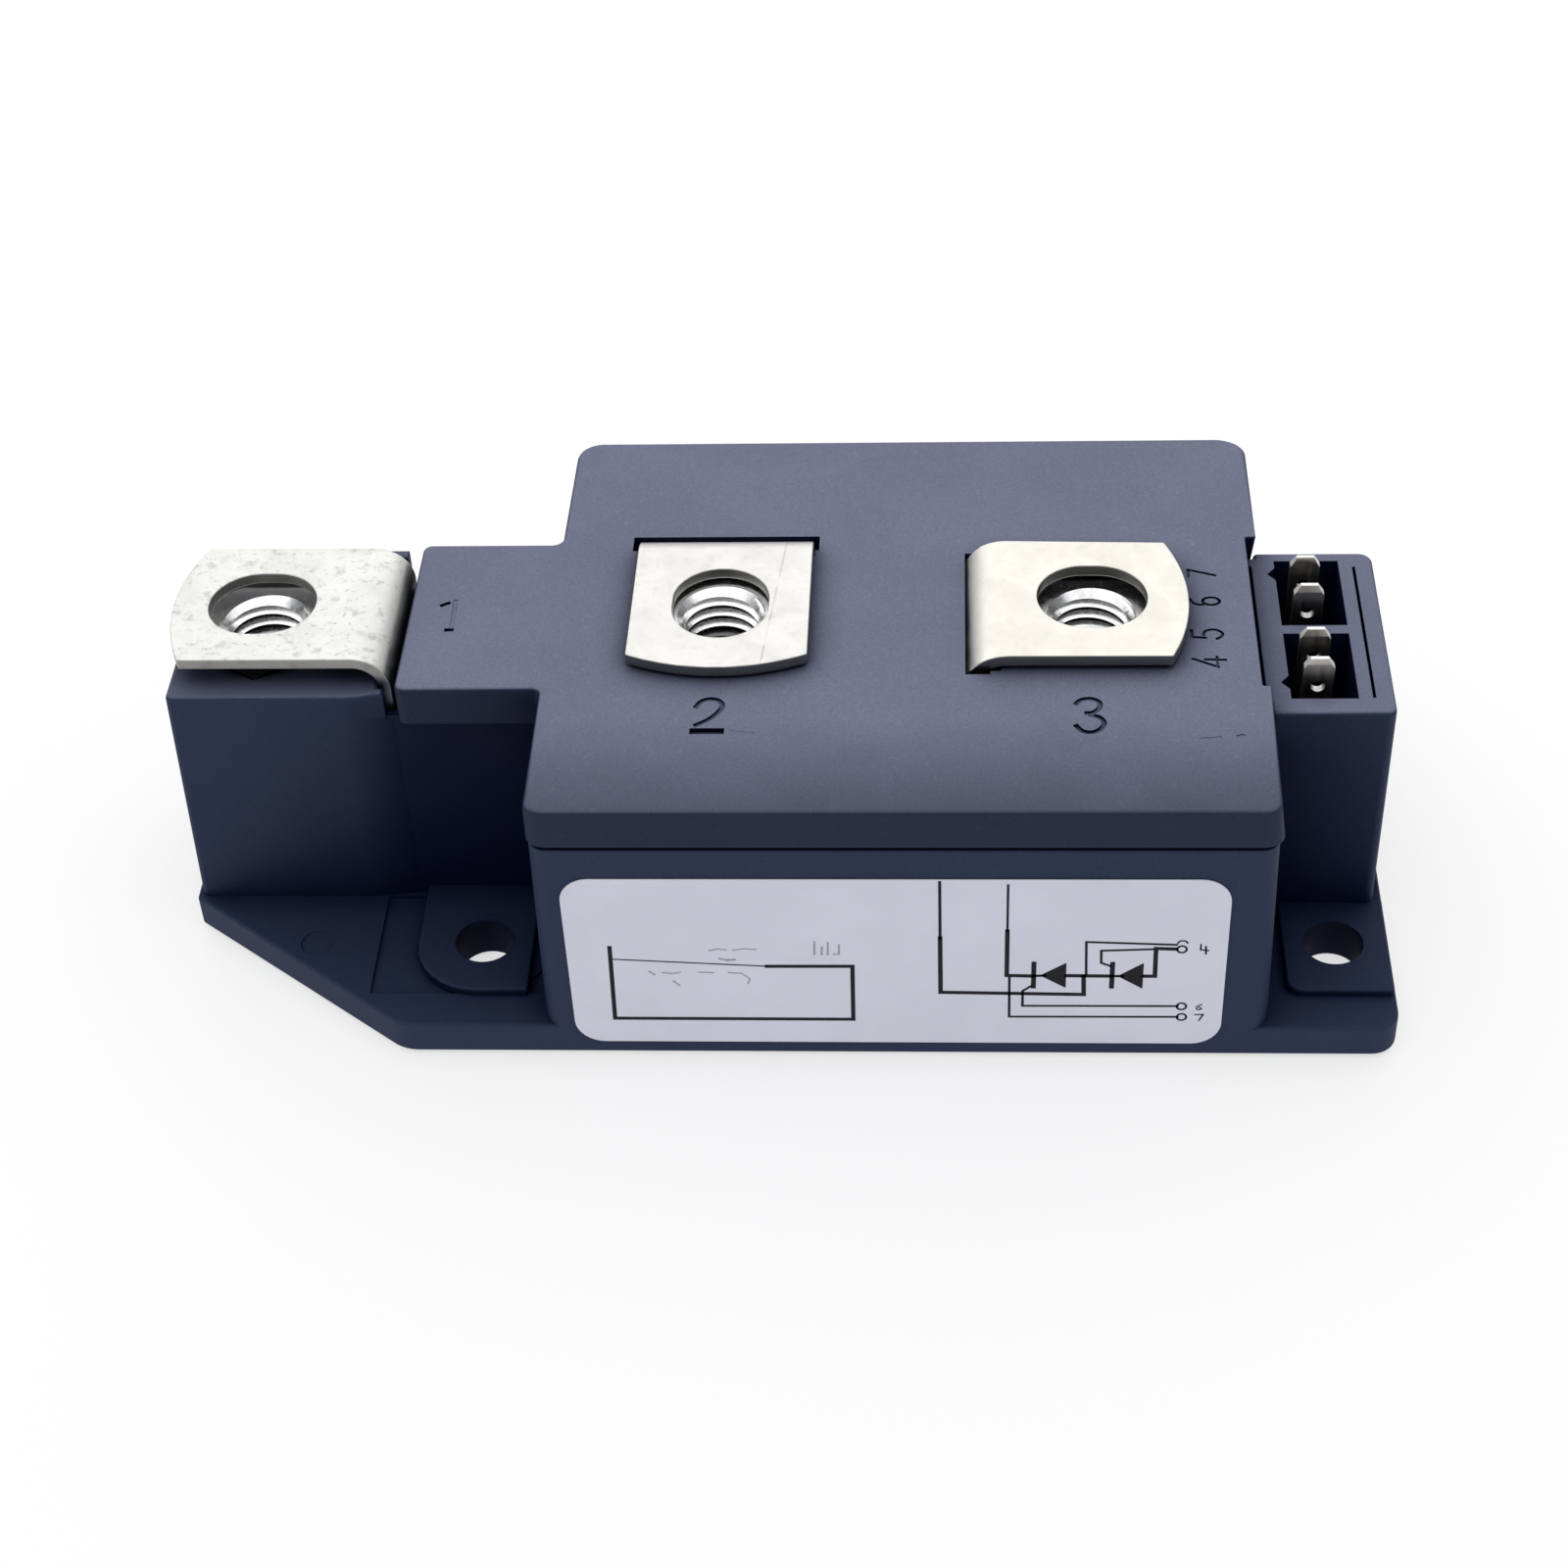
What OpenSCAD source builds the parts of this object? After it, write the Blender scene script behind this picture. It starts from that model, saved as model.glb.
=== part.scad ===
// Dual thyristor rectifier module: one leg of a controlled bridge rectifier.
// A black moulded housing on a copper base, three bolted power terminals on
// top and a keyed four-tab gate connector at the right-hand end.
//
// Millimetres. +X runs along the module from terminal 1 to the gate connector,
// +Y to the back, +Z up. The origin is the centre of the four mounting holes,
// in the plane of the base that sits on the heat sink.

/* [Base and flange] */
// Distance between mounting holes along the module
hole_pitch_x = 80; // [79.5:0.1:80.5]
// Distance between mounting holes across the module
hole_pitch_y = 34; // [33.6:0.1:34.4]
// Diameter of the mounting holes
hole_d = 5.5; // [5.4:0.1:6.2]
// Width of the flange and of the main body
flange_w = 54.6; // [54.2:0.1:55]
// Top of the flange above the heat sink
flange_z = 3.7; // [3.6:0.1:4]
// Height of the screw pads above the flange
pad_h = 0.8; // [0.5:0.1:1.2]
// Thickness of the copper base plate
base_t = 2.5; // [2.4:0.1:2.6]

/* [Housing and lid] */
// Length of the lid over the main body
lid_l = 65.5; // [65.2:0.1:66]
// Top of the lid above the heat sink
lid_z = 30.6; // [30.4:0.1:31]
// Height of the parting line between housing and lid
seam_z = 26.3; // [26:0.1:26.6]
// Top of the terminal tower
tower_z = 29.1; // [28.8:0.1:29.4]
// Width of the terminal tower
tower_w = 20.4; // [20.2:0.1:20.8]
// Top of the gate connector block
gate_z = 28.3; // [28:0.1:28.6]

/* [Terminals] */
// Position of terminal 1 along the module
t1_x = -60; // [-60.4:0.1:-59.6]
// Position of terminal 2 along the module
t2_x = -17; // [-17.2:0.1:-16.8]
// Position of terminal 3 along the module
t3_x = 17.3; // [17.1:0.1:17.5]
// Height of the terminal contact faces
term_z = 32.1; // [31.9:0.1:32.5]
// Width of the terminal strips
term_w = 16.6; // [16.2:0.1:16.8]
// Thickness of the terminal strips
term_t = 1.2; // [1.1:0.1:1.2]
// Width of the oblong screw hole in a terminal
oval_w = 8.9; // [8.6:0.1:9.2]
// Length of the oblong screw hole in a terminal
oval_l = 10.1; // [9.8:0.1:10.4]
// Bore of the M8 terminal nuts before threading
nut_bore = 6.8; // [6.6:0.1:6.9]

/* [Gate connector] */
// Width of a gate tab
tab_w = 2.8; // [2.6:0.1:2.8]
// Thickness of a gate tab
tab_t = 0.8; // [0.6:0.1:0.8]
// Height of the gate tab tips
tab_z = 31.2; // [30.8:0.1:31.6]

/* [Hidden] */
$fn = 48;

e = 0.01;
hx = hole_pitch_x / 2;
hy = hole_pitch_y / 2;
fy = flange_w / 2;
lx = lid_l / 2;
ty = tower_w / 2;
pad_z = flange_z + pad_h;
flange_r = 45.3;         // right-hand end of the flange
flange_l = -69.2;        // left-hand end of the flange, under the tower
web_x = -46.8;           // where the slanted web meets the flange's long side
under_z = 0.2;           // the moulding clears the heat sink by this much
seal_t = 0.2;            // bonded joint between base plate and housing
sleeve_d = hole_d + 1.6; // moulded sleeves that line the mounting holes
sleeve_gap = 0.4;        // play of a sleeve in the base plate, on diameter
roof_z = base_t + seal_t; // underside of the housing over the base plate
tower_l0 = -68.8;        // tower's left face at its foot
tower_l1 = -67.9;        // tower's left face at its top
tower_r = -48.3;         // tower's right face, behind the strip's upright part
wall_r = -47.7;          // right end of the tower's front and back walls
foot_r = -47.1;          // right end of the tower under the strip's slot
foot_z = 26;             // bottom of that slot
stop_z = 30.4;           // top of the stop behind the strip's bend
chan_y = 9.5;            // half width of the channel between tower and body
plat_l = -46.4;          // left end of the lid's platform
plat_y = 10.8;           // half width of the lid's platform
cav_x = 30.1;            // inside half length of the main cavity
cav_y = 24.7;            // inside half width of the main cavity
gate_r = 44.3;           // right-hand face of the gate block
gate_y = 11.75;          // half width of the gate block
gate_l = 33.05;          // left-hand face of the block above the parting line
lip_l = 32.5;            // left-hand face of its lip, let into the lid's edge
notch_x = 32.2;          // the lid's edge beside that lip
sock_l = 34.95;          // plug sockets, left and right inner faces
sock_r = 41;
sock_f = 17.5;           // floor of the plug sockets
tab_x = 37.5;           // middle of the tabs, between the socket's two faces
tab_ys = [-7.4, -3.2, 3.2, 7.4];
bend_o = 3.5;            // outer radius of a strip's bend
bend_i = bend_o - term_t;
term_b = term_z - term_t;
nut_af = 13;
nut_h = 6.5;
pocket_af = 13.3;
nut_zs = [29.7, 30.5, 30.1]; // tops of the three nuts in their pockets
pad_top = 3.8;           // top of the copper bonded on the ceramic
sol = 0.1;               // thickness of a soldered joint
chip_t = 0.4;
chip = 17;
chip_l = [-14, -6];      // centres of the two chips
chip_r = [17.5, 0];
chip_top = pad_top + sol + chip_t;
clip_b = chip_top + sol; // underside of the copper clips on the chips
foot_b = pad_top + sol;  // underside of the terminals' soldered feet
lead_r = 0.6;
gel_z = 16.5;

PLASTIC = [0.17, 0.18, 0.24];
PLATED = [0.86, 0.86, 0.84];
COPPER = [0.72, 0.45, 0.28];

// ---- shared shapes ----

function unit(v) = v / norm(v);
// Arc of n steps that rounds corner p between its neighbours a and b
function arc_at(p, a, b, r, n) = r <= 0 ? [p] :
    let (u = unit(a - p), w = unit(b - p), h = acos(u * w) / 2,
         c = p + unit(u + w) * r / sin(h),
         s = p + u * r / tan(h) - c, f = p + w * r / tan(h) - c,
         a0 = atan2(s[1], s[0]), d = atan2(f[1], f[0]) - a0,
         dd = d > 180 ? d - 360 : d < -180 ? d + 360 : d)
    [for (i = [0:n]) c + r * [cos(a0 + dd * i / n), sin(a0 + dd * i / n)]];
// Outline with each corner rounded; a corner is [x, y, radius]
function rounded(q, n = 6) = let (m = len(q))
    [for (i = [0:m - 1]) each arc_at([q[i][0], q[i][1]],
        [q[(i + m - 1) % m][0], q[(i + m - 1) % m][1]],
        [q[(i + 1) % m][0], q[(i + 1) % m][1]], q[i][2], n)];
function rect_pts(x0, y0, x1, y1, r) =
    [[x0, y0, r], [x1, y0, r], [x1, y1, r], [x0, y1, r]];

// Block between two corners
module box(a, b) { translate(a) cube(b - a); }
module slab(pts, z0, z1) { translate([0, 0, z0]) linear_extrude(z1 - z0) polygon(pts); }
// Hexagon prism with flats facing the front and back
module hex(af, z0, z1) { translate([0, 0, z0]) cylinder(h = z1 - z0, d = af / cos(30), $fn = 6); }
module at_holes() { for (sx = [-1, 1], sy = [-1, 1]) translate([sx * hx, sy * hy, 0]) children(); }
module mirrored() { children(); mirror([0, 1, 0]) children(); }
// Profile in the X-Z plane, extruded from y0 to y1
module xz(pts, y0, y1) { translate([0, y1, 0]) rotate([90, 0, 0]) linear_extrude(y1 - y0) polygon(pts); }
// Profile in the Y-Z plane, extruded from x0 to x1
module yz(pts, x0, x1) { translate([x0, 0, 0]) rotate([90, 0, 90]) linear_extrude(x1 - x0) polygon(pts); }
// Quarter of a bent strip about the Y axis. sx, sz choose the quadrant.
module bend_y(x, z, ri, ro, sx, sz, y0, y1) {
    intersection() {
        translate([x, y1, z]) rotate([90, 0, 0]) difference() {
            cylinder(h = y1 - y0, r = ro);
            translate([0, 0, -1]) cylinder(h = y1 - y0 + 2, r = ri);
        }
        box([min(x, x + sx * (ro + 1)), y0, min(z, z + sz * (ro + 1))],
            [max(x, x + sx * (ro + 1)), y1, max(z, z + sz * (ro + 1))]);
    }
}
// Rings of a round wire along a path, mitred where it turns
function frame_n(d) = abs(d[2]) > 0.9 ? [1, 0, 0] : [0, 0, 1];
function carry(n, d0, d1) = let (k = cross(d0, d1), s = norm(k))
    s < 1e-6 ? n : let (a = k / s, c = d0 * d1)
    n * c + cross(a, n) * s + a * (a * n) * (1 - c);
function dirs(p) = [for (i = [0:len(p) - 2]) unit(p[i + 1] - p[i])];
function normals(d, i, n) = i == 0 ? [n] :
    let (q = normals(d, i - 1, n)) concat(q, [carry(q[i - 1], d[i - 1], d[i])]);
module wire(p, r, k) {
    d = dirs(p);
    m = len(p);
    g = frame_n(d[0]);
    ns = normals(d, len(d) - 1, unit(g - d[0] * (g * d[0])));
    ring = [for (i = [0:m - 1]) let (j = min(i, m - 2), dj = d[j], n = ns[j], b = cross(dj, n),
            t = i == 0 ? d[0] : i == m - 1 ? d[m - 2] : unit(d[i - 1] + d[i]))
        for (s = [0:k - 1]) let (a = 360 * (s + 0.5) / k, o = r * (n * cos(a) + b * sin(a)))
            p[i] + o - dj * ((o * t) / (dj * t))];
    polyhedron(ring, concat(
        [[for (s = [0:k - 1]) s]],
        [for (i = [0:m - 2], s = [0:k - 1]) let (s2 = (s + 1) % k)
            [i * k + s, (i + 1) * k + s, (i + 1) * k + s2, i * k + s2]],
        [[for (s = [k - 1:-1:0]) (m - 1) * k + s]]));
}

// ---- base ----

base_pts = rounded(rect_pts(-45.5, -fy + 1.7, 44.2, fy - 1.7, 2));
module base_plate() {
    color(PLATED) difference() {
        slab(base_pts, 0, base_t);
        at_holes() translate([0, 0, -1]) cylinder(h = base_t + 2, d = sleeve_d + sleeve_gap);
    }
}

// Silicone bond line round the rim of the base plate
module base_seal() {
    color([0.75, 0.75, 0.72]) difference() {
        slab(base_pts, base_t, roof_z);
        box([-cav_x, -cav_y, 0], [cav_x, cav_y, 5]);
        at_holes() translate([0, 0, 1]) cylinder(h = 4, d = sleeve_d + sleeve_gap);
    }
}

// ---- housing ----

flange_pts = rounded([[flange_r, -fy, 2.4], [flange_r, fy, 2.4], [web_x, fy, 4],
    [flange_l, ty + 0.2, 0.6], [flange_l, -ty - 0.2, 0.6], [web_x, -fy, 4]]);
body_x = 33.3;           // half length of the body at its foot
module body_outer() {
    // main body, with moulding draft on its two ends
    translate([0, 0, 3]) linear_extrude(seam_z - 0.25 - 3, scale = [32.85 / body_x, 1], slices = 1)
        polygon(rounded([[-body_x, -fy, 1.8], [body_x, -fy, 1.8], [body_x, fy, 2.2], [-body_x, fy, 2.2]]));
    // ledge the lid rests on, set back to leave the parting groove
    box([-32.2, -fy + 0.7, 20], [32.2, fy - 0.7, seam_z]);
}
module left_boss() {
    translate([-hx, -hy, flange_z - 1]) cylinder(h = pad_h + 1, r = 6.45);
    box([-hx, -hy - 6.45, flange_z - 1], [-35.2, -chan_y + 0.5, pad_z]);
    box([-hx - 6.45, -hy, flange_z - 1], [-hx, -chan_y + 0.5, pad_z]);
}
module right_pad() {
    slab(rounded([[35.2, -hy - 6.2, 1.4], [flange_r, -hy - 6.2, 0], [flange_r, -gate_y + 0.5, 0], [35.2, -gate_y + 0.5, 0]]),
        flange_z - 1, pad_z);
}
module plug_key(y) {
    slab([[sock_l + e, y - 0.95], [sock_l + e, y + 0.95], [sock_l - 0.75, y]], sock_f, gate_z + 1);
}
module housing() {
    color(PLASTIC) difference() {
        union() {
            slab(flange_pts, under_z, flange_z);
            body_outer();
            // tower under terminal 1, with draft on its left face
            xz([[tower_l0, 1], [tower_r, 1], [tower_r, tower_z], [tower_l1, tower_z]], -ty, ty);
            // its walls beside the strip's slot, and a stop behind the bend
            box([tower_r - 1, -ty, 1], [foot_r, ty, foot_z]);
            mirrored() box([tower_r - 1, -ty, 1], [wall_r, -8.6, tower_z]);
            box([-54, 9, 20], [wall_r, ty, stop_z]);
            // channel between tower and main body
            box([tower_r - 1, -chan_y, 1], [-32, chan_y, seam_z]);
            // sleeves through the base plate
            at_holes() cylinder(h = 1, d = sleeve_d);
            // gate connector block
            slab(rounded([[31.5, -gate_y, 0], [gate_r, -gate_y, 0.9], [gate_r, gate_y, 1.3], [31.5, gate_y, 0]]), 3, seam_z - 0.5);
            slab(rounded([[gate_l, -gate_y, 0.5], [gate_r, -gate_y, 0.9], [gate_r, gate_y, 1.3], [gate_l, gate_y, 0.5]]), seam_z - 1, gate_z);
            box([lip_l, -10.1, seam_z - 1], [gate_l + 1, 10.8, gate_z]);
            mirrored() { left_boss(); right_pad(); }
        }
        // seat for the base plate, round the sleeves
        difference() {
            slab(rounded(rect_pts(-45.7, -fy + 1.5, 44.4, fy - 1.5, 2.2)), -1, roof_z);
            at_holes() translate([0, 0, -2]) cylinder(h = 8, d = sleeve_d);
        }
        // main cavity
        box([-cav_x, -cav_y, 0], [cav_x, cav_y, seam_z + 1]);
        // channel for the strip of terminal 1
        box([tower_r, -8.6, 8], [-cav_x + 1, 8.6, seam_z + 1]);
        // pocket for the nut of terminal 1, a flat towards the end wall, and room for the screw's end
        translate([t1_x, 0, 0]) {
            rotate([0, 0, 30]) hex(pocket_af, nut_zs[0] - nut_h, tower_z + 1);
            translate([0, 0, 19]) cylinder(h = 6, d = 9);
        }
        // plug sockets, their keyways and the wiring chamber under them
        box([sock_l, 0.75, sock_f], [sock_r, 10.4, gate_z + 1]);
        box([sock_l, -9.7, sock_f], [sock_r, -0.45, gate_z + 1]);
        plug_key(8.4);
        plug_key(-7.4);
        box([cav_x - 1, -9.7, 4.9], [42.3, 9.7, 15.5]);
        for (y = tab_ys) box([tab_x - tab_w / 2, y - tab_t / 2, 15], [tab_x + tab_w / 2, y + tab_t / 2, sock_f + 1]);
        // latch groove in the block's right wall
        box([42.25, -9.6, gate_z - 1], [42.55, 9.5, gate_z + 1]);
        // shallow floor round the left-hand bosses
        mirrored() difference() {
            box([-50.3, -23.2, flange_z - 0.3], [-33.4, -ty, flange_z + 3]);
            left_boss();
        }
        at_holes() translate([0, 0, -1]) cylinder(h = 11, d = hole_d);
    }
}

// ---- lid ----

lid_pts = rounded([
    [-lx, -fy, 1.6], [lx, -fy, 1.6],
    [lx, -10.5, 0.2], [notch_x, -10.5, 0.2], [notch_x, 11.2, 0.2], [lx, 11.2, 0.2],
    [lx, fy, 2.3], [-lx, fy, 2.3],
    [-lx, plat_y, 1], [plat_l, plat_y, 0.9], [plat_l, -plat_y, 0.9], [-lx, -plat_y, 0.6]], 5);
module lid() {
    color(PLASTIC) difference() {
        union() {
            difference() {
                slab(lid_pts, seam_z, lid_z);
                box([-29.9, -24.5, 0], [29.9, 24.5, 28.2]);
                box([plat_l + 1.4, -8.4, 0], [-20, 8.4, 28.2]);
            }
            // locating skirt inside the housing
            difference() {
                box([-29.9, -24.5, 24.3], [29.9, 24.5, 28.3]);
                box([-28.5, -23.1, 20], [28.5, 23.1, 30]);
                box([-40, -8.4, 20], [-20, 8.4, 30]);
            }
            // cups that hold the nuts of terminals 2 and 3
            for (x = [t2_x, t3_x]) translate([x, 0, 18.4]) cylinder(h = 10, r = 9.2);
        }
        for (i = [1, 2]) translate([[t1_x, t2_x, t3_x][i], 0, 0]) {
            hex(pocket_af, nut_zs[i] - nut_h, lid_z + 1);
            translate([0, 0, 20]) cylinder(h = 6, d = 9);
        }
        // slots for the strips of terminals 2 and 3
        box([t2_x - term_w / 2 - 0.8, 9.5, 20], [t2_x + term_w / 2 + 0.5, 11.7, 40]);
        box([5.6, -term_w / 2 - 0.6, 20], [7.9, term_w / 2 + 0.6, 40]);
        // the slot is wider below its edge, where the wide bend goes down
        box([t3_leg - 0.3, -term_w / 2 - 0.6, 20], [7.9, term_w / 2 + 0.6, 30.2]);
        // relief under the strips' bends
        box([t2_x - term_w / 2 - 0.12, 8.6, 29.4], [t2_x + term_w / 2 + 0.12, 9.6, 40]);
        box([7.8, -term_w / 2 - 0.12, 29.4], [8.9, term_w / 2 + 0.12, 40]);
    }
}

// ---- terminals ----

// Oblong screw hole, long way along the strip
module oval(x, y, along_x) {
    d = (oval_l - oval_w) / 2;
    translate([x, y, term_b - 1]) rotate([0, 0, along_x ? 0 : 90]) {
        for (s = [-1, 1]) translate([s * d, 0, 0]) cylinder(h = term_t + 2, d = oval_w);
        translate([-d, -oval_w / 2, 0]) cube([2 * d, oval_w, term_t + 2]);
    }
}
// Removes what lies outside an arc that rounds off a strip's end
end_r = 19.5;
module end_cut(x, y) {
    difference() {
        translate([x, y, term_b - 1]) cylinder(h = term_t + 2, r = end_r + 8);
        translate([x, y, term_b - 2]) cylinder(h = term_t + 4, r = end_r);
    }
}
t1_leg = -47.05;         // right face of the upright part of strip 1
t1_run = 11;             // top of its run through the channel
t1_drop = -27.2;         // right face of its inner leg
module terminal_1() {
    w = term_w / 2;
    c = t1_leg - bend_o;
    color(PLATED) difference() {
        union() {
            box([-68.4, -w, term_b], [c, w, term_z]);
            bend_y(c, term_z - bend_o, bend_i, bend_o, 1, 1, -w, w);
            box([t1_leg - term_t, -w, t1_run + bend_i], [t1_leg, w, term_z - bend_o]);
            bend_y(t1_leg + bend_i, t1_run + bend_i, bend_i, bend_o, -1, -1, -w, w);
            box([t1_leg + bend_i, -w, t1_run - term_t], [t1_drop - bend_o, w, t1_run]);
            bend_y(t1_drop - bend_o, t1_run - bend_o, bend_i, bend_o, 1, 1, -w, w);
            box([t1_drop - term_t, -w, foot_b + 2], [t1_drop, w, t1_run - bend_o]);
            bend_y(t1_drop + 0.8, foot_b + 2, 0.8, 2, -1, -1, -w, w);
            box([t1_drop + 0.8, -w, foot_b], [-23.6, w, foot_b + term_t]);
        }
        oval(t1_x, 0, true);
        // rounded outer end, only out in the open
        intersection() {
            end_cut(-68.4 + end_r, 0);
            box([-80, -20, term_b - 1], [-60, 20, term_z + 1]);
        }
    }
}
t2_leg = 11.2;           // back face of the upright part of strip 2
module terminal_2() {
    x0 = t2_x - term_w / 2;
    x1 = t2_x + term_w / 2;
    color(PLATED) difference() {
        rotate([0, 0, 90]) union() {
            // drawn along X, then turned to run along Y
            box([-9.5, -x1, term_b], [t2_leg - bend_o, -x0, term_z]);
            bend_y(t2_leg - bend_o, term_z - bend_o, bend_i, bend_o, 1, 1, -x1, -x0);
            box([t2_leg - term_t, -x1, 9], [t2_leg, -x0, term_z - bend_o]);
            box([t2_leg - term_t, -x0 - 7, foot_b + 2], [t2_leg, -x0, 9.1]);
            bend_y(t2_leg + 0.8, foot_b + 2, 0.8, 2, -1, -1, -x0 - 7, -x0);
            box([t2_leg + 0.8, -x0 - 7, foot_b], [16, -x0, foot_b + term_t]);
        }
        oval(t2_x, -0.2, false);
        intersection() {
            end_cut(t2_x, -9.5 + end_r);
            box([-40, -20, term_b - 1], [0, -2, term_z + 1]);
        }
    }
}
t3_leg = 5.0;            // left face of the upright part of strip 3
t3_bend = 4.5;           // outer radius of its upper bend
module terminal_3() {
    w = term_w / 2;
    c = t3_leg + t3_bend;
    color(PLATED) difference() {
        union() {
            box([c, -w, term_b], [26.15, w, term_z]);
            bend_y(c, term_z - t3_bend, t3_bend - term_t, t3_bend, -1, 1, -w, w);
            box([t3_leg, -w, 9], [t3_leg + term_t, w, term_z - t3_bend]);
            box([t3_leg, 1, foot_b + 2], [t3_leg + term_t, w, 9.1]);
            bend_y(t3_leg - 0.8, foot_b + 2, 0.8, 2, 1, -1, 1, w);
            box([3, 1, foot_b], [t3_leg - 0.8, w, foot_b + term_t]);
        }
        oval(t3_x, 0.2, true);
        intersection() {
            end_cut(26.15 - end_r, 0);
            box([t3_x + 1, -20, term_b - 1], [40, 20, term_z + 1]);
        }
    }
}

// M8 hexagon nuts, loose in their pockets under the strips
module nut(x, top, turn = 0) {
    translate([x, 0, top - nut_h]) rotate([0, 0, turn]) difference() {
        intersection() {
            hex(nut_af, 0, nut_h);
            rotate_extrude() polygon([[0, 0], [6.2, 0], [7.6, 0.8], [7.6, nut_h - 0.8], [6.2, nut_h], [0, nut_h]]);
        }
        translate([0, 0, -1]) cylinder(h = nut_h + 2, d = nut_bore);
        translate([0, 0, nut_h - 0.75]) cylinder(h = 0.85, d1 = nut_bore, d2 = nut_bore + 1.7);
        translate([0, 0, -0.1]) cylinder(h = 0.85, d1 = nut_bore + 1.7, d2 = nut_bore);
    }
}
module terminal_nuts() {
    color([0.8, 0.8, 0.8]) {
        nut(t1_x, nut_zs[0], 30);
        nut(t2_x, nut_zs[1]);
        nut(t3_x, nut_zs[2]);
    }
}

// ---- gate connector tabs ----

tab_b = 12.4;            // lower end of a tab, where its lead is soldered
module tab(y) {
    w = tab_w / 2;
    t = tab_t / 2;
    translate([tab_x, y, 0]) difference() {
        intersection() {
            xz([[-w, tab_b], [w, tab_b], [w, tab_z - 1], [w - 0.6, tab_z], [-w + 0.6, tab_z], [-w, tab_z - 1]], -2, 2);
            yz([[-t, tab_b], [t, tab_b], [t, tab_z - 0.7], [t - 0.2, tab_z], [-t + 0.2, tab_z], [-t, tab_z - 0.7]], -4, 4);
        }
        translate([0, 3, tab_z - 3.1]) rotate([90, 0, 0]) cylinder(h = 6, d = 1.2);
    }
}
module gate_tab_4() { color(PLATED) tab(tab_ys[0]); }
module cathode_tab_5() { color(PLATED) tab(tab_ys[1]); }
module cathode_tab_6() { color(PLATED) tab(tab_ys[2]); }
module gate_tab_7() { color(PLATED) tab(tab_ys[3]); }

// ---- insulating substrates, each copper on ceramic on copper ----

module back_foil_left() { color(COPPER) box([-28, -20.5, base_t + sol], [-2, 20.5, 2.9]); }
module back_foil_right() { color(COPPER) box([2, -20.5, base_t + sol], [28, 20.5, 2.9]); }
module ceramic_left() { color([0.93, 0.92, 0.88]) box([-28.6, -21.2, 2.9], [-1.4, 21.2, 3.5]); }
module ceramic_right() { color([0.93, 0.92, 0.88]) box([1.4, -21.2, 2.9], [28.6, 21.2, 3.5]); }
module anode_pad_left() { color(COPPER) box([-27.6, -20.2, 3.5], [-2.4, 8.6, pad_top]); }
module cathode_pad_left() { color(COPPER) box([-27.6, 9.6, 3.5], [-2.4, 20.2, pad_top]); }
module anode_pad_right() { color(COPPER) box([2.4, -20.2, 3.5], [27.6, 20.2, pad_top]); }

// ---- chips and their copper connections ----

module chip_at(c) { color([0.35, 0.37, 0.42]) translate([c[0], c[1], pad_top + sol]) translate([-chip / 2, -chip / 2, 0]) cube([chip, chip, chip_t]); }
module thyristor_chip_left() { chip_at(chip_l); }
module thyristor_chip_right() { chip_at(chip_r); }

// Cathode of the left chip to the pad under terminal 2
module cathode_clip() {
    b = clip_b;
    color(COPPER) yz([[-12, b], [0.6, b], [2.8, 6.8], [11.6, 6.8], [13.8, foot_b], [18.5, foot_b], [18.5, foot_b + 0.6],
        [14.2, foot_b + 0.6], [12, 7.4], [2.4, 7.4], [0.2, b + 0.6], [-12, b + 0.6]], -16.5, -8.5);
}
// Cathode of the right chip to the anode pad of the left one
module cathode_bridge() {
    b = clip_b;
    color(COPPER) xz([[23, b], [10.6, b], [8.8, 6.8], [1, 6.8], [-1.8, foot_b], [-4.8, foot_b], [-4.8, foot_b + 0.6],
        [-2.1, foot_b + 0.6], [0.7, 7.4], [9.1, 7.4], [10.9, b + 0.6], [23, b + 0.6]], -8, -1);
}
// Soldered joints: substrates to base, chips to pads, clips and feet
module solder_layers() {
    c = chip / 2 - 0.2;
    color([0.7, 0.7, 0.72]) {
        box([-28, -20.5, base_t], [-2, 20.5, base_t + sol]);
        box([2, -20.5, base_t], [28, 20.5, base_t + sol]);
        for (p = [chip_l, chip_r]) box([p[0] - c, p[1] - c, pad_top], [p[0] + c, p[1] + c, pad_top + sol]);
        box([-16.5, -12, chip_top], [-8.5, 0.4, clip_b]);
        box([11, -8, chip_top], [23, -1, clip_b]);
        box([-16.5, 14.2, pad_top], [-8.5, 18.5, foot_b]);
        box([-4.8, -8, pad_top], [-2.6, -1, foot_b]);
        box([t1_drop + 0.8, -term_w / 2, pad_top], [-23.6, term_w / 2, foot_b]);
        box([t2_x - term_w / 2, t2_leg + 0.8, pad_top], [t2_x - term_w / 2 + 7, 16, foot_b]);
        box([3, 1, pad_top], [t3_leg - 0.8, term_w / 2, foot_b]);
    }
}

// ---- insulated leads from the chips to the gate connector ----

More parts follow.
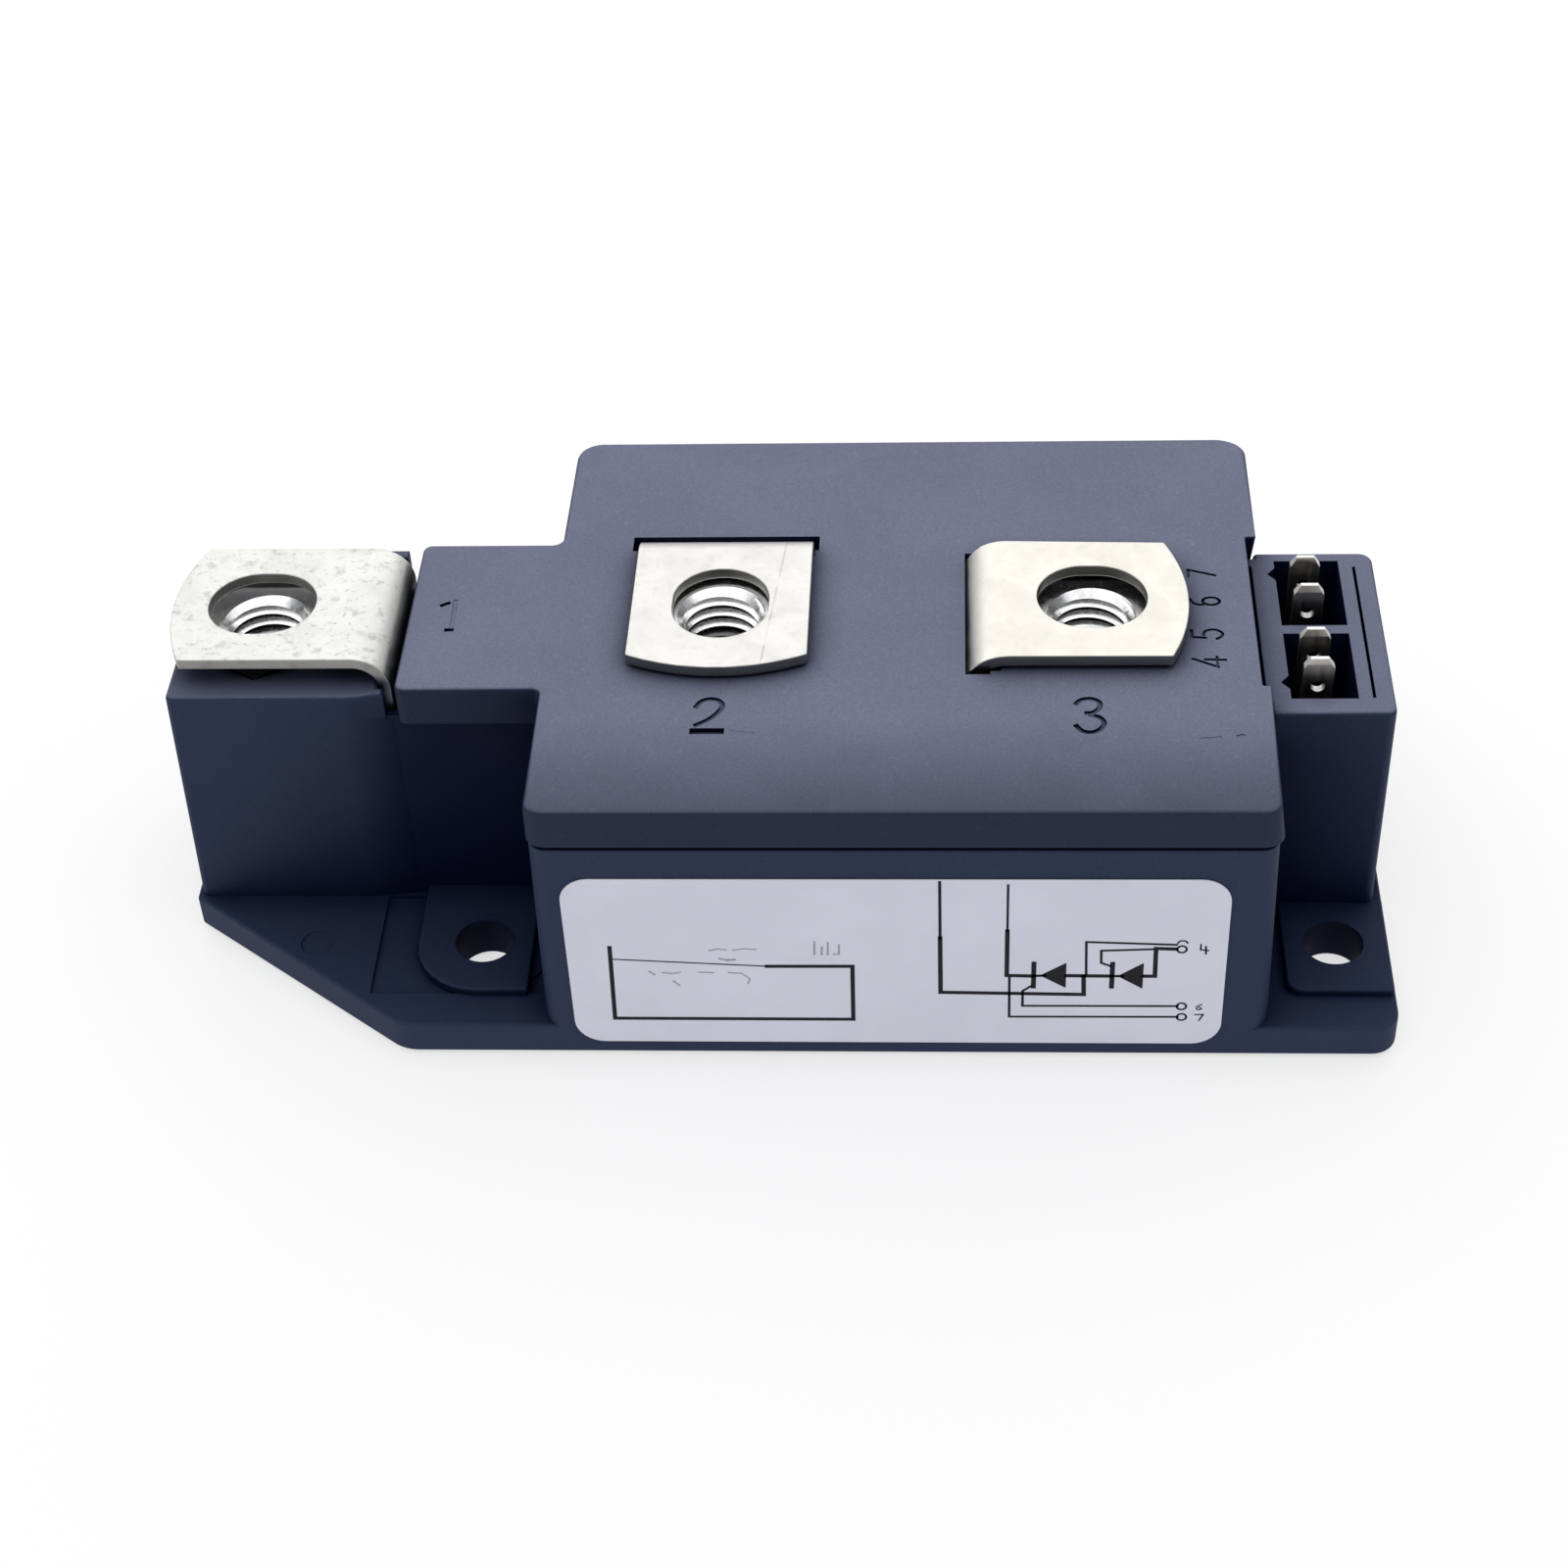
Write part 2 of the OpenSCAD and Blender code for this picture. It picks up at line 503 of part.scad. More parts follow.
tab_side = tab_x - tab_w / 2;
path_4 = [[tab_side, tab_ys[0], 13.4], [25.6, tab_ys[0], 13.4], [24.6, tab_ys[0], 12.4], [24.6, tab_ys[0], chip_top]];
path_5 = [[tab_side, tab_ys[1], 13.4], [20, tab_ys[1], 13.4], [19, tab_ys[1], 12.4], [19, tab_ys[1], clip_b + 0.6]];
path_6 = [[tab_side, tab_ys[2], 14.7], [33.5, tab_ys[2], 14.7], [29.5, 9.1, 14.7], [2.2, 9.1, 14.7], [1.2, 8.1, 14.7],
    [1.2, -6.5, 14.7], [0.2, -7.5, 14.7], [-11.5, -7.5, 14.7], [-12.5, -7.5, 13.7], [-12.5, -7.5, clip_b + 0.6]];
path_7 = [[tab_side, tab_ys[3], 13.2], [33, tab_ys[3], 13.2], [31, 9.1, 13.2], [0.4, 9.1, 13.2], [-0.6, 8.1, 13.2],
    [-0.6, -12.4, 13.2], [-1.6, -13.4, 13.2], [-5.6, -13.4, 13.2], [-6.6, -13.4, 12.2], [-6.6, -13.4, chip_top]];
module gate_lead_4() { color("gold") wire(path_4, lead_r, 8); }
module cathode_lead_5() { color("firebrick") wire(path_5, lead_r, 8); }
module cathode_lead_6() { color("firebrick") wire(path_6, lead_r, 8); }
module gate_lead_7() { color("gold") wire(path_7, lead_r, 8); }

// ---- silicone gel poured over the circuit ----

module gel_fill() {
    color([0.85, 0.88, 0.9, 0.5]) difference() {
        union() {
            box([-cav_x, -cav_y, base_t], [cav_x, cav_y, gel_z]);
            box([tower_r, -8.6, 8], [-cav_x + 1, 8.6, gel_z]);
            box([cav_x - 1, -9.7, 4.9], [42.3, 9.7, 15.5]);
        }
        back_foil_left();
        back_foil_right();
        ceramic_left();
        ceramic_right();
        anode_pad_left();
        anode_pad_right();
        cathode_pad_left();
        thyristor_chip_left();
        thyristor_chip_right();
        cathode_clip();
        cathode_bridge();
        solder_layers();
        terminal_1();
        terminal_2();
        terminal_3();
        gate_tab_4();
        cathode_tab_5();
        cathode_tab_6();
        gate_tab_7();
        gate_lead_4();
        cathode_lead_5();
        cathode_lead_6();
        gate_lead_7();
    }
}

// ---- label on the front wall ----

module label() {
    color([0.78, 0.79, 0.83]) xz(rounded([[-30.4, 1.8, 2.7], [28.9, 1.8, 2.7], [28.9, 22.7, 2.7], [-30.4, 22.7, 2.7]], 8), -fy - 0.15, -fy);
}

base_plate();
base_seal();
housing();
lid();
terminal_1();
terminal_2();
terminal_3();
terminal_nuts();
gate_tab_4();
cathode_tab_5();
cathode_tab_6();
gate_tab_7();
back_foil_left();
back_foil_right();
ceramic_left();
ceramic_right();
anode_pad_left();
anode_pad_right();
cathode_pad_left();
thyristor_chip_left();
thyristor_chip_right();
cathode_clip();
cathode_bridge();
solder_layers();
gate_lead_4();
cathode_lead_5();
cathode_lead_6();
gate_lead_7();
gel_fill();
label();
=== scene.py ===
import math

import bmesh
import bpy
from mathutils import Matrix, Vector


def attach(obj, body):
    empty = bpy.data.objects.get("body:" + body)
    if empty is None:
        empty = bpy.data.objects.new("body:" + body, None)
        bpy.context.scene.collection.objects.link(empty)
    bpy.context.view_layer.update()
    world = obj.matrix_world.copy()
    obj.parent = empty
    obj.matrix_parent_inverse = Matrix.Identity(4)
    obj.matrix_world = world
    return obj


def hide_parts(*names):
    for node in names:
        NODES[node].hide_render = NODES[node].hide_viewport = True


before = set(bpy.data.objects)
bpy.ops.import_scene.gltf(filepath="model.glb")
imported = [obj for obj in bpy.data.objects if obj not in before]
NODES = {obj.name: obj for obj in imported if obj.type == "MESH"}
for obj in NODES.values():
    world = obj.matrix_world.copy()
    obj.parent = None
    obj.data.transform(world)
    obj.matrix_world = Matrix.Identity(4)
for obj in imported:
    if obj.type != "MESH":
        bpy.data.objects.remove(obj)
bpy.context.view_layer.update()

SCENE = bpy.context.scene
MM = 0.001


# ---------------------------------------------------------------- mesh tools


def add_object(name, mesh):
    obj = bpy.data.objects.new(name, mesh)
    SCENE.collection.objects.link(obj)
    return obj


def to_object(name, bm):
    mesh = bpy.data.meshes.new(name)
    bm.to_mesh(mesh)
    bm.free()
    return add_object(name, mesh)


def settle(obj):
    """Makes the result of an object's modifiers its own mesh."""
    bpy.context.view_layer.update()
    graph = bpy.context.evaluated_depsgraph_get()
    mesh = bpy.data.meshes.new_from_object(obj.evaluated_get(graph))
    old = obj.data
    obj.modifiers.clear()
    obj.data = mesh
    mesh.name = obj.name
    bpy.data.meshes.remove(old)
    return obj


def crisp(obj, angle=34, flat_width=0.4):
    """Splits an object's faces into triangles, and sets normals that are smooth
    over rounded edges while each flat keeps its own."""
    bm = bmesh.new()
    bm.from_mesh(obj.data)
    bmesh.ops.remove_doubles(bm, verts=bm.verts, dist=1e-6)
    bmesh.ops.dissolve_degenerate(bm, dist=1e-6, edges=bm.edges)
    bmesh.ops.triangulate(bm, faces=bm.faces)
    bm.normal_update()
    planes = {}
    keys = []
    for f in bm.faces:
        n = f.normal
        key = (round(n.x * 120), round(n.y * 120), round(n.z * 120), round(n.dot(f.verts[0].co) / 1e-5))
        keys.append(key)
        entry = planes.setdefault(key, [0.0, Vector((9, 9, 9)), Vector((-9, -9, -9))])
        entry[0] += f.calc_area()
        for v in f.verts:
            entry[1] = Vector(map(min, entry[1], v.co))
            entry[2] = Vector(map(max, entry[2], v.co))
    flat = [planes[k][0] / max(max(planes[k][2] - planes[k][1]), 1e-9) > flat_width * MM for k in keys]
    bm.faces.index_update()
    limit = math.cos(math.radians(angle))
    normals = []
    for f in bm.faces:
        for loop in f.loops:
            if flat[f.index]:
                normals.append(f.normal.copy())
                continue
            near = [g for g in loop.vert.link_faces if g.normal.dot(f.normal) > limit]
            chosen = [g for g in near if flat[g.index]] or near
            total = Vector((0, 0, 0))
            for g in chosen:
                total += g.normal * g.calc_area()
            normals.append(total.normalized() if total.length > 0 else f.normal.copy())
    bm.to_mesh(obj.data)
    bm.free()
    mesh = obj.data
    mesh.polygons.foreach_set("use_smooth", [True] * len(mesh.polygons))
    mesh.normals_split_custom_set(normals)
    return obj


def cad_mesh(node, weld=0.002, flat=0.0):
    """A welded copy of a node's mesh, with its flat faces joined up if asked."""
    bm = bmesh.new()
    bm.from_mesh(NODES[node].data)
    bmesh.ops.remove_doubles(bm, verts=bm.verts, dist=weld * MM)
    if flat:
        bmesh.ops.dissolve_limit(
            bm, angle_limit=math.radians(flat), verts=bm.verts, edges=bm.edges
        )
    bmesh.ops.recalc_face_normals(bm, faces=bm.faces)
    return bm


def combine(obj, other, operation):
    """A boolean of two solids; the second is used up."""
    mod = obj.modifiers.new("solid", "BOOLEAN")
    mod.operation = operation
    mod.solver = "EXACT"
    mod.use_hole_tolerant = True
    mod.object = other
    settle(obj)
    mesh = other.data
    bpy.data.objects.remove(other)
    bpy.data.meshes.remove(mesh)
    return obj


def round_edges(obj, radius, segments=3):
    """Rounds every convex crease of a plain piece, in mm."""
    bm = bmesh.new()
    bm.from_mesh(obj.data)
    creases = [
        e
        for e in bm.edges
        if len(e.link_faces) == 2 and e.is_convex and e.calc_face_angle(0.0) > math.radians(25)
    ]
    bmesh.ops.bevel(
        bm,
        geom=creases,
        offset=radius * MM,
        offset_type="OFFSET",
        segments=segments,
        profile=0.5,
        affect="EDGES",
        clamp_overlap=False,
    )
    bm.to_mesh(obj.data)
    bm.free()
    return crisp(obj)


def corner_path(corners, steps=8):
    """An outline with each corner (x, y, radius) rounded, counter-clockwise."""
    area = sum(
        p[0] * q[1] - q[0] * p[1] for p, q in zip(corners, corners[1:] + corners[:1])
    )
    if area < 0:
        corners = corners[::-1]
    path = []
    for i, (x, y, r) in enumerate(corners):
        p = Vector((x, y))
        if r <= 0:
            path.append(p)
            continue
        a = (Vector(corners[i - 1][:2]) - p).normalized()
        b = (Vector(corners[(i + 1) % len(corners)][:2]) - p).normalized()
        half = a.angle(b) / 2
        middle = p + (a + b).normalized() * (r / math.sin(half))
        start = p + a * (r / math.tan(half)) - middle
        end = p + b * (r / math.tan(half)) - middle
        a0 = math.atan2(start.y, start.x)
        turn = math.atan2(end.y, end.x) - a0
        turn = (turn + math.pi) % (2 * math.pi) - math.pi
        for k in range(steps + 1):
            t = a0 + turn * k / steps
            path.append(middle + Vector((math.cos(t), math.sin(t))) * r)
    return path


def prism(name, corners, z0, z1, top=0.0, bottom=0.0, warp=None, steps=8, rings=4, inset=0.02):
    """A moulded block over an outline, its top and bottom edges rounded. top may be a function of the point."""
    path = corner_path(corners, steps)
    z0, z1 = z0 + inset, z1 - inset
    n = len(path)
    mitre = []
    for i, p in enumerate(path):
        d0 = (p - path[i - 1]).normalized()
        d1 = (path[(i + 1) % n] - p).normalized()
        n0, n1 = Vector((-d0.y, d0.x)), Vector((-d1.y, d1.x))
        mitre.append((n0 + n1) / (1 + n0.dot(n1)))
    rise = [top(p) if callable(top) else top for p in path]
    levels = []
    if bottom:
        for k in range(rings + 1):
            t = math.pi / 2 * k / rings
            levels.append([(bottom * (1 - math.sin(t)), z0 + bottom * (1 - math.cos(t)))] * n)
    else:
        levels.append([(0.0, z0)] * n)
    if top:
        for k in range(rings + 1):
            t = math.pi / 2 * k / rings
            levels.append([(r * (1 - math.cos(t)), z1 - r * (1 - math.sin(t))) for r in rise])
    else:
        levels.append([(0.0, z1)] * n)
    bm = bmesh.new()
    loops = []
    for level in levels:
        loop = []
        for p, m, (d, z) in zip(path, mitre, level):
            q = p + m * (d + inset)
            x, y, z = warp(q.x, q.y, z) if warp else (q.x, q.y, z)
            loop.append(bm.verts.new((x * MM, y * MM, z * MM)))
        loops.append(loop)
    for a, b in zip(loops, loops[1:]):
        for i in range(n):
            j = (i + 1) % n
            bm.faces.new((a[i], a[j], b[j]))
            bm.faces.new((a[i], b[j], b[i]))
    bm.faces.new(loops[0][::-1])
    bm.faces.new(loops[-1])
    return to_object(name, bm)


def revolved(name, x, y, profile, segments=48):
    """A closed solid turned about an upright axis, from (radius, height) points that start and end on the axis."""
    bm = bmesh.new()
    rows = []
    for r, z in profile:
        if r <= 0:
            rows.append([bm.verts.new((x * MM, y * MM, z * MM))])
            continue
        rows.append(
            [
                bm.verts.new(((x + r * math.cos(2 * math.pi * i / segments)) * MM, (y + r * math.sin(2 * math.pi * i / segments)) * MM, z * MM))
                for i in range(segments)
            ]
        )
    for a, b in zip(rows, rows[1:]):
        for i in range(segments):
            j = (i + 1) % segments
            if len(a) == 1:
                bm.faces.new((a[0], b[j], b[i]))
            elif len(b) == 1:
                bm.faces.new((a[i], a[j], b[0]))
            else:
                bm.faces.new((a[i], a[j], b[j], b[i]))
    bmesh.ops.recalc_face_normals(bm, faces=bm.faces)
    return to_object(name, bm)


def rect(x0, y0, x1, y1, r=0.0):
    return [(x0, y0, r), (x1, y0, r), (x1, y1, r), (x0, y1, r)]


def flip(corners):
    return [(x, -y, r) for x, y, r in corners]


def catmull(points, steps=6):
    """A smooth path through the points."""
    p = [points[0], *points, points[-1]]
    path = []
    for i in range(1, len(p) - 2):
        for k in range(steps):
            t = k / steps
            path.append(
                tuple(
                    0.5
                    * (
                        2 * b
                        + (c - a) * t
                        + (2 * a - 5 * b + 4 * c - d) * t * t
                        + (3 * b - a - 3 * c + d) * t * t * t
                    )
                    for a, b, c, d in zip(p[i - 1], p[i], p[i + 1], p[i + 2])
                )
            )
    path.append(tuple(points[-1]))
    return path


# ---------------------------------------------------------------- materials


class Finish:
    """A small builder for one procedural material, in object space."""

    def __init__(self, name):
        self.mat = bpy.data.materials.new(name)
        self.mat.use_nodes = True
        self.tree = self.mat.node_tree
        self.shader = self.tree.nodes["Principled BSDF"]
        self.place = self.add("ShaderNodeTexCoord").outputs["Object"]

    def add(self, kind, **values):
        n = self.tree.nodes.new(kind)
        for key, value in values.items():
            setattr(n, key, value)
        return n

    def link(self, a, b):
        self.tree.links.new(a, b)

    def put(self, socket, value):
        if isinstance(value, bpy.types.NodeSocket):
            self.link(value, socket)
        else:
            socket.default_value = value

    def stretched(self, sx, sy, sz):
        m = self.add("ShaderNodeMapping")
        m.inputs["Scale"].default_value = (sx, sy, sz)
        self.link(self.place, m.inputs["Vector"])
        return m.outputs["Vector"]

    def noise(self, scale, detail=3.0, rough=0.55, where=None, twist=0.0):
        n = self.add("ShaderNodeTexNoise")
        n.inputs["Scale"].default_value = scale
        n.inputs["Detail"].default_value = detail
        n.inputs["Roughness"].default_value = rough
        n.inputs["Distortion"].default_value = twist
        self.link(where or self.place, n.inputs["Vector"])
        return n.outputs["Fac"]

    def cells(self, scale, where=None):
        n = self.add("ShaderNodeTexVoronoi")
        n.inputs["Scale"].default_value = scale
        self.link(where or self.place, n.inputs["Vector"])
        return n.outputs["Distance"]

    def band(self, fac, lo, hi, out_lo=0.0, out_hi=1.0):
        """A smooth step from lo to hi."""
        n = self.add("ShaderNodeMapRange", interpolation_type="SMOOTHSTEP")
        self.link(fac, n.inputs["Value"])
        n.inputs["From Min"].default_value = lo
        n.inputs["From Max"].default_value = hi
        n.inputs["To Min"].default_value = out_lo
        n.inputs["To Max"].default_value = out_hi
        return n.outputs["Result"]

    def ramp(self, value, lo, hi, out_lo, out_hi):
        """A straight ramp from lo to hi."""
        n = self.add("ShaderNodeMapRange")
        self.link(value, n.inputs["Value"])
        for key, v in zip(("From Min", "From Max", "To Min", "To Max"), (lo, hi, out_lo, out_hi)):
            n.inputs[key].default_value = v
        return n.outputs["Result"]

    def shelter(self, reach, own=True, samples=3):
        """How open a point is within some mm, to its own piece or to all pieces."""
        n = self.add("ShaderNodeAmbientOcclusion", samples=samples, only_local=own)
        n.inputs["Distance"].default_value = reach * MM
        return n.outputs["AO"]

    def math(self, op, a, b):
        n = self.add("ShaderNodeMath", operation=op)
        self.put(n.inputs[0], a)
        self.put(n.inputs[1], b)
        return n.outputs[0]

    def mix(self, fac, a, b):
        n = self.add("ShaderNodeMix", data_type="RGBA")
        self.put(n.inputs[0], fac)
        self.put(n.inputs[6], (*a, 1) if isinstance(a, tuple) else a)
        self.put(n.inputs[7], (*b, 1) if isinstance(b, tuple) else b)
        return n.outputs[2]

    def axis(self, source, which):
        n = self.add("ShaderNodeSeparateXYZ")
        self.link(source, n.inputs[0])
        return n.outputs[which]

    def normal(self):
        return self.add("ShaderNodeNewGeometry").outputs["Normal"]

    def colour(self, value):
        self.put(self.shader.inputs["Base Color"], value)

    def rough(self, value):
        self.put(self.shader.inputs["Roughness"], value)

    def bump(self, height, depth, strength=1.0, under=None):
        n = self.add("ShaderNodeBump")
        n.inputs["Strength"].default_value = strength
        n.inputs["Distance"].default_value = depth * MM
        self.link(height, n.inputs["Height"])
        if under is not None:
            self.link(under, n.inputs["Normal"])
        return n.outputs["Normal"]

    def relief(self, value):
        self.link(value, self.shader.inputs["Normal"])

    def set(self, **values):
        for key, value in values.items():
            self.shader.inputs[key.replace("_", " ")].default_value = value
        return self.mat


def plastic(name, dark, light, seed, bridge=False):
    """Glass-filled moulding: fine grain, flow smudges, a top lightened by dust and painted sheen that fades as painted
    shade towards its front edge, and painted shade darkening its recesses; the bridge to the tower and the screw holes
    get the darkest painted shade."""
    f = Finish(name)
    shift = f.add("ShaderNodeMapping")
    shift.inputs["Location"].default_value = (seed, seed * 0.7, seed * 0.3)
    f.link(f.place, shift.inputs["Vector"])
    here = shift.outputs["Vector"]
    grain = f.noise(5200, 2, 0.6, here)
    fibre = f.noise(1500, 2, 0.6, here)
    smudge = f.noise(75, 3, 0.6, here, 0.6)
    up = f.band(f.axis(f.normal(), 2), 0.55, 0.97)
    high = f.band(f.axis(f.place, 2), 0.0268, 0.0286)
    handled = f.band(smudge, 0.2, 0.8, 0.86, 1.0)
    drift = f.math("MULTIPLY", smudge, 0.003)
    # painted shade: the top's lightening falls off towards the front edge; the tower top gets less of it, partly less
    # dust and partly painted shade under its strip
    front_shade = f.ramp(f.math("ADD", f.axis(f.place, 1), drift), -0.0262, -0.0132, 0.35, 1.0)
    tower = f.ramp(f.axis(f.place, 0), -0.048, -0.047, 0.6, 1.0)
    front_shade = f.math("MULTIPLY", front_shade, tower)
    # dust and painted sheen: upward faces high up are lightened towards the lit top colour
    dust_and_sheen = f.math("MULTIPLY", f.math("MULTIPLY", up, high), f.math("MULTIPLY", handled, front_shade))
    base = f.mix(dust_and_sheen, dark, light)
    pale = tuple(min(1.0, c * 1.7 + 0.01) for c in light)
    specks = f.math("MULTIPLY", f.band(fibre, 0.62, 0.8), f.band(dust_and_sheen, 0.0, 1.0, 0.025, 0.22))
    base = f.mix(specks, base, pale)
    shade = f.band(grain, 0.3, 0.75, 0.2, 0.0)
    base = f.mix(shade, base, tuple(c * 0.45 for c in dark))
    # painted shade: the bridge under the lid platform and the walls of the screw holes are darkened
    if bridge:
        x, z = f.axis(f.place, 0), f.axis(f.place, 2)
        across = f.math("ABSOLUTE", f.axis(f.place, 1), 0.0)
        along = f.math("MULTIPLY", f.band(x, -0.0508, -0.0462), f.band(x, -0.0336, -0.0331, 1.0, 0.0))
        inside = f.math("MULTIPLY", f.band(across, 0.01035, 0.01075, 1.0, 0.0), f.band(z, 0.0261, 0.0264, 1.0, 0.0))
        dx = f.math("SUBTRACT", f.math("ABSOLUTE", x, 0.0), 0.04)
        dy = f.math("SUBTRACT", across, 0.017)
        apart = f.math("SQRT", f.math("ADD", f.math("MULTIPLY", dx, dx), f.math("MULTIPLY", dy, dy)), 0.0)
        bridge_hole_shade = f.math("MAXIMUM", f.math("MULTIPLY", along, inside), f.band(apart, 0.0028, 0.003, 1.0, 0.0))
        bridge_hole_shade = f.math("MULTIPLY", bridge_hole_shade, f.band(up, 0.0, 1.0, 0.8, 0.0))
        base = f.mix(bridge_hole_shade, base, (dark[0] * 0.16, dark[1] * 0.2, dark[2] * 0.34))
    # painted shade: ambient occlusion within 28 mm of the piece itself darkens recesses and corners, and clear adds
    # painted contact shadow within 3.5 mm of all pieces
    occlusion_shade = f.math("POWER", f.shelter(28), f.band(up, 0.0, 1.0, 4.6, 0.9))
    clear = f.math("POWER", f.shelter(3.5, False), f.band(up, 0.0, 1.0, 0.0, 1.7))
    occlusion_shade = f.math("MAXIMUM", f.math("MULTIPLY", occlusion_shade, clear), 0.04)
    base = f.mix(occlusion_shade, (dark[0] * 0.03, dark[1] * 0.09, dark[2] * 0.24), base)
    f.colour(base)
    f.rough(f.band(smudge, 0.25, 0.75, 0.46, 0.62))
    coarse = f.bump(fibre, 0.025, 0.45)
    f.relief(f.bump(grain, 0.01, 0.5, coarse))
    return f.set(Specular_IOR_Level=0.05)


def plated(name, tint, dull, speckle, along, seed, edge=0.3, low=(0.0288, 0.0304), scratch=None):
    """Rolled, tin-plated strip: satin, grained along its length, with scratches; its upright faces get painted shade
    towards edge times the tint, and its part low down in the slot is painted dark shade.
    """
    f = Finish(name)
    shift = f.add("ShaderNodeMapping")
    shift.inputs["Location"].default_value = (seed, seed * 0.6, seed * 0.2)
    f.link(f.place, shift.inputs["Vector"])
    drawn = f.add("ShaderNodeMapping")
    drawn.inputs["Scale"].default_value = (0.06, 1, 1) if along == "x" else (1, 0.06, 1)
    f.link(shift.outputs["Vector"], drawn.inputs["Vector"])
    roll = f.noise(2600, 3, 0.6, drawn.outputs["Vector"])
    cloud = f.noise(260, 3, 0.6, shift.outputs["Vector"], 0.8)
    pits = f.noise(1400, 3, 0.65, shift.outputs["Vector"])
    marks = f.noise(620, 2, 0.6, shift.outputs["Vector"])
    spots = f.math("MAXIMUM", f.band(pits, 0.55, 0.72, 0.0, speckle), f.band(marks, 0.55, 0.72, 0.0, speckle * 0.8))
    grey = tuple(c * 0.5 for c in tint)
    base = f.mix(f.band(cloud, 0.3, 0.75, 0.0, 0.55), tint, tuple(c * 0.84 for c in tint))
    base = f.mix(spots, base, grey)
    if scratch:
        off = f.math("SUBTRACT", f.axis(f.place, 0), f.math("MULTIPLY", f.axis(f.place, 1), scratch[0]))
        off = f.math("ABSOLUTE", f.math("ADD", off, scratch[1]), 0.0)
        base = f.mix(f.math("MULTIPLY", f.band(off, 0.00004, 0.00014, 0.55, 0.0), f.band(cloud, 0.35, 0.6, 0.15, 1.0)), base, grey)
    # painted shade: upright faces of the strip are darkened
    facing = f.math("ABSOLUTE", f.axis(f.normal(), 2), 0.0)
    base = f.mix(f.band(facing, 0.1, 0.5, 0.9, 0.0), base, tuple(c * edge for c in tint))
    # painted shade: the strip low down, in its slot, is darkened
    base = f.mix(f.band(f.axis(f.place, 2), *low, 0.88, 0.0), base, (0.085, 0.092, 0.135))
    f.colour(base)
    worn = f.band(cloud, 0.25, 0.75, dull - 0.06, dull + 0.07)
    f.rough(f.math("ADD", worn, f.math("MULTIPLY", spots, 0.2)))
    line = f.bump(roll, 0.006, 0.55)
    f.relief(f.bump(pits, 0.02 if speckle > 0.3 else 0.008, 0.5, line))
    return f.set(Metallic=1.0)


def simple(name, a, b, scale, rough_lo, rough_hi, depth, **values):
    """A mottled finish between two colours, with grain of its own."""
    f = Finish(name)
    n = f.noise(scale, 4, 0.6)
    f.colour(f.mix(f.band(n, 0.3, 0.7), a, b))
    f.rough(f.band(n, 0.3, 0.7, rough_lo, rough_hi))
    f.relief(f.bump(f.noise(scale * 6, 3, 0.6), depth, 0.5))
    return f.set(**values)


def brushed(name, tint, axis_scale, rough, depth=0.006, faces=1.0, core=0.0):
    """Drawn or turned metal; its upright faces may be darker than its cut edges as painted shade, most of all low down,
    and then the cut edges are worn matt and bright. With a core, what lies farther than that many mm from the middle
    line, or deep down, is painted near-black as painted shade."""
    f = Finish(name)
    drawn = f.stretched(*axis_scale)
    line = f.noise(2200, 3, 0.6, drawn)
    cloud = f.noise(90, 3, 0.5)
    base = f.mix(f.band(cloud, 0.3, 0.75), tint, tuple(c * 0.8 for c in tint))
    if faces < 1:
        facing = f.math("ABSOLUTE", f.axis(f.normal(), 2), 0.0)
        dull = tuple(c * faces * k for c, k in zip(tint, (1.0, 0.95, 0.9)))
        # painted shade: upright faces are darkened, most of all low down
        low = f.band(f.axis(f.place, 2), 0.0289, 0.0299, 0.9, 0.0)
        base = f.mix(f.band(facing, 0.2, 0.65, 0.95, 0.0), base, f.mix(low, dull, tuple(c * 0.45 for c in dull)))
        f.put(f.shader.inputs["Metallic"], f.band(facing, 0.2, 0.65, 1.0, 0.3))
    # painted shade: deep down, and beyond core mm from the middle line, the nut is painted near-black
    if core:
        base = f.mix(f.band(f.axis(f.place, 2), 0.0252, 0.0264, 0.9, 0.0), base, tuple(c * 0.05 for c in tint))
        off = f.math("ABSOLUTE", f.axis(f.place, 1), 0.0)
        base = f.mix(f.band(off, core * MM, (core + 0.5) * MM), base, tuple(c * 0.06 for c in tint))
    f.colour(base)
    f.rough(f.band(line, 0.25, 0.75, rough - 0.07, rough + 0.09))
    f.relief(f.bump(line, depth, 0.6))
    return f.set(Metallic=1.0)


PLASTIC_DARK = (0.0315, 0.042, 0.083)
# the top colour below holds dust and painted sheen
PLASTIC_TOP_LIT = (0.175, 0.189, 0.267)
HOUSING = plastic("housing_plastic", PLASTIC_DARK, PLASTIC_TOP_LIT, 0.13, True)
LID = plastic("lid_plastic", tuple(c * 0.76 for c in PLASTIC_DARK), PLASTIC_TOP_LIT, 0.41)
STRIP_1 = plated("plated_strip_worn", (0.726, 0.718, 0.68), 0.4, 0.6, "x", 0.1, 0.33, (0.0291, 0.0303))
STRIP_2 = plated("plated_strip_across", (0.715, 0.702, 0.665), 0.33, 0.16, "y", 0.3, scratch=(0.094, 0.01203))
STRIP_3 = plated("plated_strip_along", (0.75, 0.731, 0.665), 0.33, 0.12, "x", 0.5)
NUT = brushed("zinc_nut", (0.92, 0.92, 0.92), (1, 1, 0.08), 0.2, 0.003, 1.0, 5.0)
TAB = brushed("tinned_tab", (0.98, 0.96, 0.92), (1, 1, 0.08), 0.34, 0.005, 0.42)
BASE = brushed("base_plating", (0.66, 0.65, 0.61), (0.05, 1, 1), 0.36)
COPPER = simple("bare_copper", (0.72, 0.36, 0.2), (0.6, 0.28, 0.15), 300, 0.25, 0.4, 0.004, Metallic=1.0)
